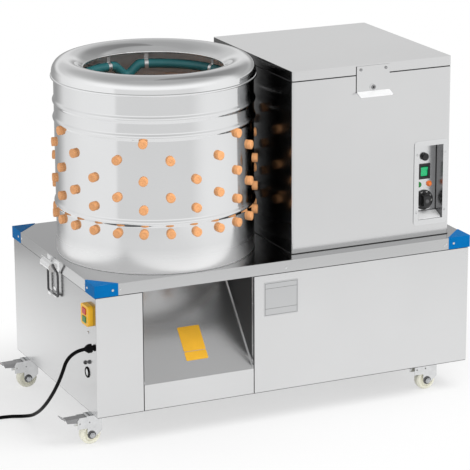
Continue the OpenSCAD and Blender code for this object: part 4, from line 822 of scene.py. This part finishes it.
# The drum's wall is painted lighter towards its foot, a painted reflection where the deck would mirror dark;
# it is also rougher there.
drum_steel = sheet_metal(
    "drum_sheet", (0.75, 0.755, 0.76), 0.08, grain=TURNED, low=((0.97, 0.97, 0.97), DRUM_FOOT_LIGHT_RISE), foot=0.3
)
# The deck's faces that look up are painted darker than its flange: painted shade.
deck_steel = sheet_metal("deck_sheet", (0.57, 0.572, 0.575), 0.16, top=(0.35, 0.352, 0.355))
# The control recess's walls that face left are painted dark: painted shade in the recess.
pocket_steel = sheet_metal("pocket_sheet", (0.77, 0.775, 0.78), 0.24, grain=FINE, left=(0.22, 0.22, 0.225))
pull_steel = sheet_metal("pull_plate", STEEL, 0.2)
frame_steel = sheet_metal("square_tube", (0.55, 0.56, 0.57), 0.35)
chrome = sheet_metal("latch_chrome", (0.90, 0.905, 0.91), 0.28, grain=FINE, bump=0.02)
zinc = sheet_metal(
    "zinc_plate", (0.70, 0.705, 0.71), 0.2, grain=FINE, spread=0.08, bump=0.03, cloud=60.0, tint=0.06
)
bail_steel = sheet_metal("bail_wire", (0.1, 0.1, 0.103), 0.16, grain=FINE, bump=0.03, tint=0.1, cloud=40.0)
# Black washers and nuts; on the caster axles the black also stands in for the fork cheek's shadow, painted
# shade.
washer_black_and_shade = sheet_metal(
    "black_washer_and_shade", (0.12, 0.12, 0.122), 0.3, grain=FINE, bump=0.03, tint=0.1, cloud=40.0
)
trim_steel = sheet_metal("trim_steel", (0.3, 0.3, 0.305), 0.22, grain=FINE, bump=0.03, tint=0.08, cloud=40.0)
rim_steel = sheet_metal("rim_sheet", (0.81, 0.815, 0.82), 0.08, grain=TURNED)
lining_steel = sheet_metal("drum_lining", (0.86, 0.86, 0.86), 0.45, grain=TURNED)
label_alloy = sheet_metal("plate_alloy", (0.60, 0.605, 0.61), 0.42, grain=(900, 4, 900), bump=0.04)
machined = sheet_metal("machined_steel", (0.5, 0.51, 0.52), 0.25, grain=(300, 300, 60), bump=0.04)
brass = sheet_metal("brass_fitting", (0.72, 0.52, 0.22), 0.25, grain=FINE, bump=0.04)
heater_steel = sheet_metal(
    "heater_sheath", (0.3, 0.29, 0.28), 0.4, grain=(200, 200, 200), tint=0.15, cloud=30.0
)
blue = moulded("blue_protector", linear(0, 106, 172), 0.5, grain=500, tint=0.05, Specular_IOR_Level=0.05)
finger_rubber = moulded(
    "finger_rubber", linear(232, 166, 110), 0.62, grain=1500, tint=0.07, cloud=90, islands=0.06
)
hose_rubber = moulded("hose_rubber", linear(40, 102, 106), 0.42, grain=600, tint=0.08)
dark_paint = moulded("dark_paint", (0.045, 0.047, 0.05), 0.45, grain=700)
motor_paint = moulded("motor_paint", (0.09, 0.13, 0.17), 0.4, grain=700)
# Near-black for the sheet behind the chute: painted shade of the cabinet's dark inside
guard_shade_black = moulded("guard_shade_black", (0.03, 0.03, 0.031), 0.55, grain=500)
belt_rubber = moulded("belt_rubber", (0.016, 0.016, 0.017), 0.65, grain=800)
seal_and_shade_black = moulded("seal_and_shade_black", (0.02, 0.02, 0.021), 0.6, grain=800)
black_plastic = moulded("black_plastic", (0.014, 0.014, 0.015), 0.4, grain=1200)
cord_rubber = moulded(
    "cord_sheath", (0.004, 0.004, 0.0043), 0.32, grain=900, spread=0.05, bump=0.06, Specular_IOR_Level=0.035
)
dial_white = moulded("dial_white", (0.7, 0.7, 0.69), 0.5, grain=900)
cap_grey = moulded("cap_grey", (0.09, 0.09, 0.092), 0.45, grain=900)
# A lighter copy of the steel round it, with little metal: painted highlight on the pull lip and the recess's
# sill
lip_painted_highlight = moulded("lip_painted_highlight", (0.9, 0.902, 0.905), 0.3, grain=900, bump=0.03, tint=0.02, Metallic=0.3)
yellow = moulded("yellow_plastic", linear(246, 186, 20), 0.36, grain=800)
label_yellow = moulded("label_yellow", linear(226, 170, 34), 0.45, grain=600, bump=0.05)
red = moulded("red_button", linear(196, 40, 40), 0.35, grain=800)
green = moulded("green_button", linear(40, 128, 66), 0.35, grain=800)
nylon = moulded("cream_nylon", linear(247, 245, 228), 0.4, grain=500, tint=0.05, cloud=40)
rocker_lens = moulded(
    "lit_rocker", linear(24, 168, 104), 0.2, grain=400, bump=0.05,
    Emission_Color=(*linear(40, 214, 140), 1), Emission_Strength=0.22,
)
lamp_lens = moulded(
    "lamp_lens", linear(30, 120, 50), 0.18, grain=400, bump=0.04, other=(LAMP_MIDDLE, linear(246, 128, 56))
)

LOOKS = {
    panel: ["right_panel", "back_panel", "front_left_panel", "front_right_panel", "chute"],
    side_panel_painted_shade_and_light: ["left_panel"],
    tank_steel: ["tank_shell", "tank_lid"],
    tub_steel: ["tank_tub", "turntable"],
    pocket_steel: ["control_pocket"],
    pull_steel: ["lid_handle"],
    rim_steel: ["drum_rim"],
    lining_steel: ["spray_clips"],
    # The caster plates take this dark steel as painted shade under the cabinet; the pedals share it.
    trim_steel: ["caster_plates", "pedal_front_left", "pedal_back_left"],
    deck_steel: ["deck"],
    frame_steel: ["base_frame"],
    zinc: [
        "fasteners", "lid_hinges", "fork_front_left", "fork_back_left", "fork_front_right", "fork_back_right",
    ],
    chrome: ["latch_plates", "latch_lever"],
    machined: ["bearings", "rotor_shaft", "driven_pulley", "motor_pulley"],
    brass: ["water_inlet"],
    heater_steel: ["heating_element"],
    blue: ["corner_protectors"],
    finger_rubber: ["drum_fingers", "turntable_fingers"],
    dark_paint: ["bearing_bridge", "motor_mount"],
    motor_paint: ["motor"],
    belt_rubber: ["drive_belt"],
    black_plastic: ["rocker_frame", "reset_button", "thermostat_knob", "cord_tie", "cord_plug"],
    yellow: ["switch_frame"],
    red: ["stop_button"],
    green: ["start_button"],
    nylon: ["wheel_front_left", "wheel_back_left", "wheel_front_right", "wheel_back_right"],
    rocker_lens: ["rocker"],
    lamp_lens: ["pilot_lamps"],
}
PIECE_LOOKS = {
    cord_rubber: [cord, nodes["power_cord"], nodes["cord_coil"], nodes["cord_gland"]],
    hose_rubber: [hose, nodes["spray_hose"]],
    # Black of the real gasket, sealant and rules, and painted shade in the seam strips and the pull plate's
    # dark sheet
    seal_and_shade_black: [gasket, tank_sealant, rules, seams, pull_shadow],
    guard_shade_black: [guard],
    label_alloy: [rating],
    zinc: [drum_sealant, grommet_plug],
    label_yellow: labels,
    drum_steel: [nodes["drum_shell"]],
    rim_steel: [rim_edge],
    finger_rubber: [heads],
    bail_steel: [bail, nodes["latch_bail"]],
    washer_black_and_shade: [*washers, earth_nuts],
    machined: nuts,
    dial_white: dial,
    cap_grey: [knob_cap],
    lip_painted_highlight: [pull_lip, sill],
    trim_steel: [pull_trim],
}


def dress(obj, material):
    if obj.material_slots:
        for slot in obj.material_slots:
            slot.link = "OBJECT"
            slot.material = material
    else:
        obj.data.materials.append(material)


def dress_wall():
    """The drum's wall: bright outside, and duller on the faces that look to its axis."""
    axis = at(DRUM_X, DRUM_Y, 0)
    wall.data.materials.append(drum_steel)
    wall.data.materials.append(lining_steel)
    for face in wall.data.polygons:
        outward = face.center - axis
        face.material_index = 1 if face.normal.x * outward.x + face.normal.y * outward.y < 0 else 0


dress_wall()
for look_of, names in LOOKS.items():
    for name in names:
        dress(nodes[name], look_of)
for look_of, pieces in PIECE_LOOKS.items():
    for piece in pieces:
        dress(piece, look_of)


# Node arithmetic for the floor and the world
class Graph:
    """Arithmetic nodes in one node tree."""

    def __init__(self, tree):
        self.tree = tree

    def fill(self, socket, value):
        if hasattr(value, "is_linked"):
            self.tree.links.new(value, socket)
        else:
            socket.default_value = value

    def math(self, kind, a, b):
        made = self.tree.nodes.new("ShaderNodeMath")
        made.operation = kind
        self.fill(made.inputs[0], a)
        self.fill(made.inputs[1], b)
        return made.outputs["Value"]

    def vector(self, kind, a, b=None):
        made = self.tree.nodes.new("ShaderNodeVectorMath")
        made.operation = kind
        self.fill(made.inputs[0], a)
        if b is not None:
            self.fill(made.inputs[1], b)
        return made

    def ramp(self, value, start, end, low, high):
        made = self.tree.nodes.new("ShaderNodeMapRange")
        made.interpolation_type = "SMOOTHSTEP"
        for key, number in (("From Min", start), ("From Max", end), ("To Min", low), ("To Max", high)):
            made.inputs[key].default_value = number
        self.fill(made.inputs["Value"], value)
        return made.outputs["Result"]

    def blend(self, a, b, share):
        made = self.tree.nodes.new("ShaderNodeMix")
        self.fill(made.inputs["A"], a)
        self.fill(made.inputs["B"], b)
        self.fill(made.inputs["Factor"], share)
        return made.outputs["Result"]

    def seen(self, *rays):
        """1 for a ray that shows the background, of the kinds that rays names."""
        path = self.tree.nodes.new("ShaderNodeLightPath")
        shown = path.outputs["Is Camera Ray"]
        for ray in rays:
            shown = self.math("MAXIMUM", shown, path.outputs[ray])
        return shown


# Stage: a pale floor that keeps the shadow and turns to the background's white further out
FLOOR_R, FLOOR_SEGMENTS = 1.6, 96
FLOOR_COLOUR, FLOOR_ROUGH = (0.92, 0.92, 0.92), 0.7
FLOOR_SHAPE = (0.62, 1.0, 0.0)
FLOOR_FADE = (0.4, 0.8)
FLOOR_WHITE = 0.6


def stage_floor():
    bm = bmesh.new()
    bmesh.ops.create_circle(bm, cap_ends=True, segments=FLOOR_SEGMENTS, radius=FLOOR_R)
    mesh = mesh_from("floor", bm)
    floor = bpy.data.objects.new("floor", mesh)
    scene.collection.objects.link(floor)
    material = bpy.data.materials.new("pale_floor")
    material.use_nodes = True
    tree = material.node_tree
    graph = Graph(tree)
    bsdf = tree.nodes["Principled BSDF"]
    bsdf.inputs["Base Color"].default_value = (*FLOOR_COLOUR, 1)
    bsdf.inputs["Roughness"].default_value = FLOOR_ROUGH
    bsdf.inputs["Specular IOR Level"].default_value = 0.0
    white = tree.nodes.new("ShaderNodeEmission")
    spot = tree.nodes.new("ShaderNodeTexCoord").outputs["Object"]
    near = graph.vector("MULTIPLY", spot, FLOOR_SHAPE).outputs["Vector"]
    out = graph.vector("LENGTH", near).outputs["Value"]
    shown = graph.seen("Is Transmission Ray", "Is Glossy Ray")
    share = graph.math("MULTIPLY", shown, graph.ramp(out, *FLOOR_FADE, FLOOR_WHITE, 1.0))
    mix = tree.nodes.new("ShaderNodeMixShader")
    tree.links.new(share, mix.inputs["Fac"])
    tree.links.new(bsdf.outputs["BSDF"], mix.inputs[1])
    tree.links.new(white.outputs["Emission"], mix.inputs[2])
    tree.links.new(mix.outputs["Shader"], tree.nodes["Material Output"].inputs["Surface"])
    mesh.materials.append(material)


stage_floor()


# Studio: a white room with a dark flag low behind the object, a grey ceiling and a softer patch by the camera
# Each ramp is (start, end, value before, value after), over a direction's height or its turn to one side
FLAG_TURN, BESIDE_TURN = math.radians(20), math.radians(67)
PATCH_TONE = 0.83
PATCH_UP, PATCH_FACING = (0.0, 0.12, 1.0, 0.0), (0.2, 0.35, 0.0, 1.0)
PATCH_LEFT, PATCH_RIGHT = (-0.7, -0.64, 0.0, 1.0), (0.66, 0.93, 1.0, 0.0)
FLAG_TONE, FLAG_UP = (0.55, 0.92, 1.0, 0.45), (0.02, 0.2, 1.0, 0.0)
WING_TONE, WING_UP = (0.82, 0.97, 1.0, 0.6), (0.0, 0.12, 0.0, 1.0)
BACK_TONE, BACK_UP, BACK_FACING = (0.2, 0.34, 0.82, 0.66), (0.55, 0.85, 0.0, 1.0), (-0.9, 0.1, 0.0, 1.0)
FRONT_TONE, FRONT_UP, FRONT_FACING = 1.1, (0.02, 0.3, 0.0, 1.0), (0.0, 0.6, 0.0, 1.0)
CEILING_TONE = (0.35, 0.9, 1.0, 0.43)


def studio():
    world = bpy.data.worlds.new("studio")
    scene.world = world
    world.use_nodes = True
    tree = world.node_tree
    graph = Graph(tree)
    background = tree.nodes["Background"]
    background.inputs["Color"].default_value = (1, 1, 1, 1)
    way = tree.nodes.new("ShaderNodeTexCoord").outputs["Generated"]
    flat = graph.vector("MULTIPLY", way, (1, 1, 0)).outputs["Vector"]
    level = graph.vector("NORMALIZE", flat).outputs["Vector"]

    def towards(x, y):
        return graph.vector("DOT_PRODUCT", level, (x, y, 0)).outputs["Value"]

    facing = towards(-math.sin(AZIMUTH), -math.cos(AZIMUTH))
    sideways = towards(math.cos(AZIMUTH), -math.sin(AZIMUTH))
    flagged = towards(math.sin(FLAG_TURN), math.cos(FLAG_TURN))
    beside = towards(math.sin(BESIDE_TURN), math.cos(BESIDE_TURN))
    up = graph.vector("DOT_PRODUCT", way, (0, 0, 1)).outputs["Value"]
    patch_share = graph.ramp(up, *PATCH_UP)
    for value, limits in ((facing, PATCH_FACING), (sideways, PATCH_LEFT), (sideways, PATCH_RIGHT)):
        patch_share = graph.math("MULTIPLY", patch_share, graph.ramp(value, *limits))
    patch = graph.blend(1.0, PATCH_TONE, patch_share)
    flag = graph.blend(1.0, graph.ramp(flagged, *FLAG_TONE), graph.ramp(up, *FLAG_UP))
    wing = graph.blend(1.0, graph.ramp(beside, *WING_TONE), graph.ramp(up, *WING_UP))
    back_wall = graph.blend(graph.ramp(up, *BACK_TONE), 1.0, graph.ramp(up, *BACK_UP))
    behind = graph.blend(back_wall, 1.0, graph.ramp(facing, *BACK_FACING))
    front = graph.math("MULTIPLY", graph.ramp(facing, *FRONT_FACING), graph.ramp(up, *FRONT_UP))
    lift = graph.blend(1.0, FRONT_TONE, front)
    room = patch
    for part in (flag, wing, behind, lift, graph.ramp(up, *CEILING_TONE)):
        room = graph.math("MULTIPLY", room, part)
    shown = graph.math("MAXIMUM", graph.seen("Is Transmission Ray"), room)
    tree.links.new(shown, background.inputs["Strength"])


studio()
# Pieces that the sheets around them do not mirror
for name in (
    "corner_protectors", "latch_plates", "latch_lever", "caster_plates", "pedal_front_left",
    "pedal_back_left", "cord_tie", "cord_plug",
):
    nodes[name].visible_glossy = False
cord.visible_glossy = False


# Key lamp, high in front and to the right
KEY_AT, KEY_AIM = Vector((0.9, -1.7, 3.2)), Vector((0, 0, 0.4))
KEY_SIZE, KEY_POWER = 2.4, 75
key_data = bpy.data.lights.new("key", "AREA")
key_data.shape = "DISK"
key_data.size = KEY_SIZE
key_data.energy = KEY_POWER
key = bpy.data.objects.new("key", key_data)
scene.collection.objects.link(key)
key.location = KEY_AT
key.rotation_euler = (KEY_AIM - KEY_AT).to_track_quat("-Z", "Y").to_euler()
key.visible_glossy = False
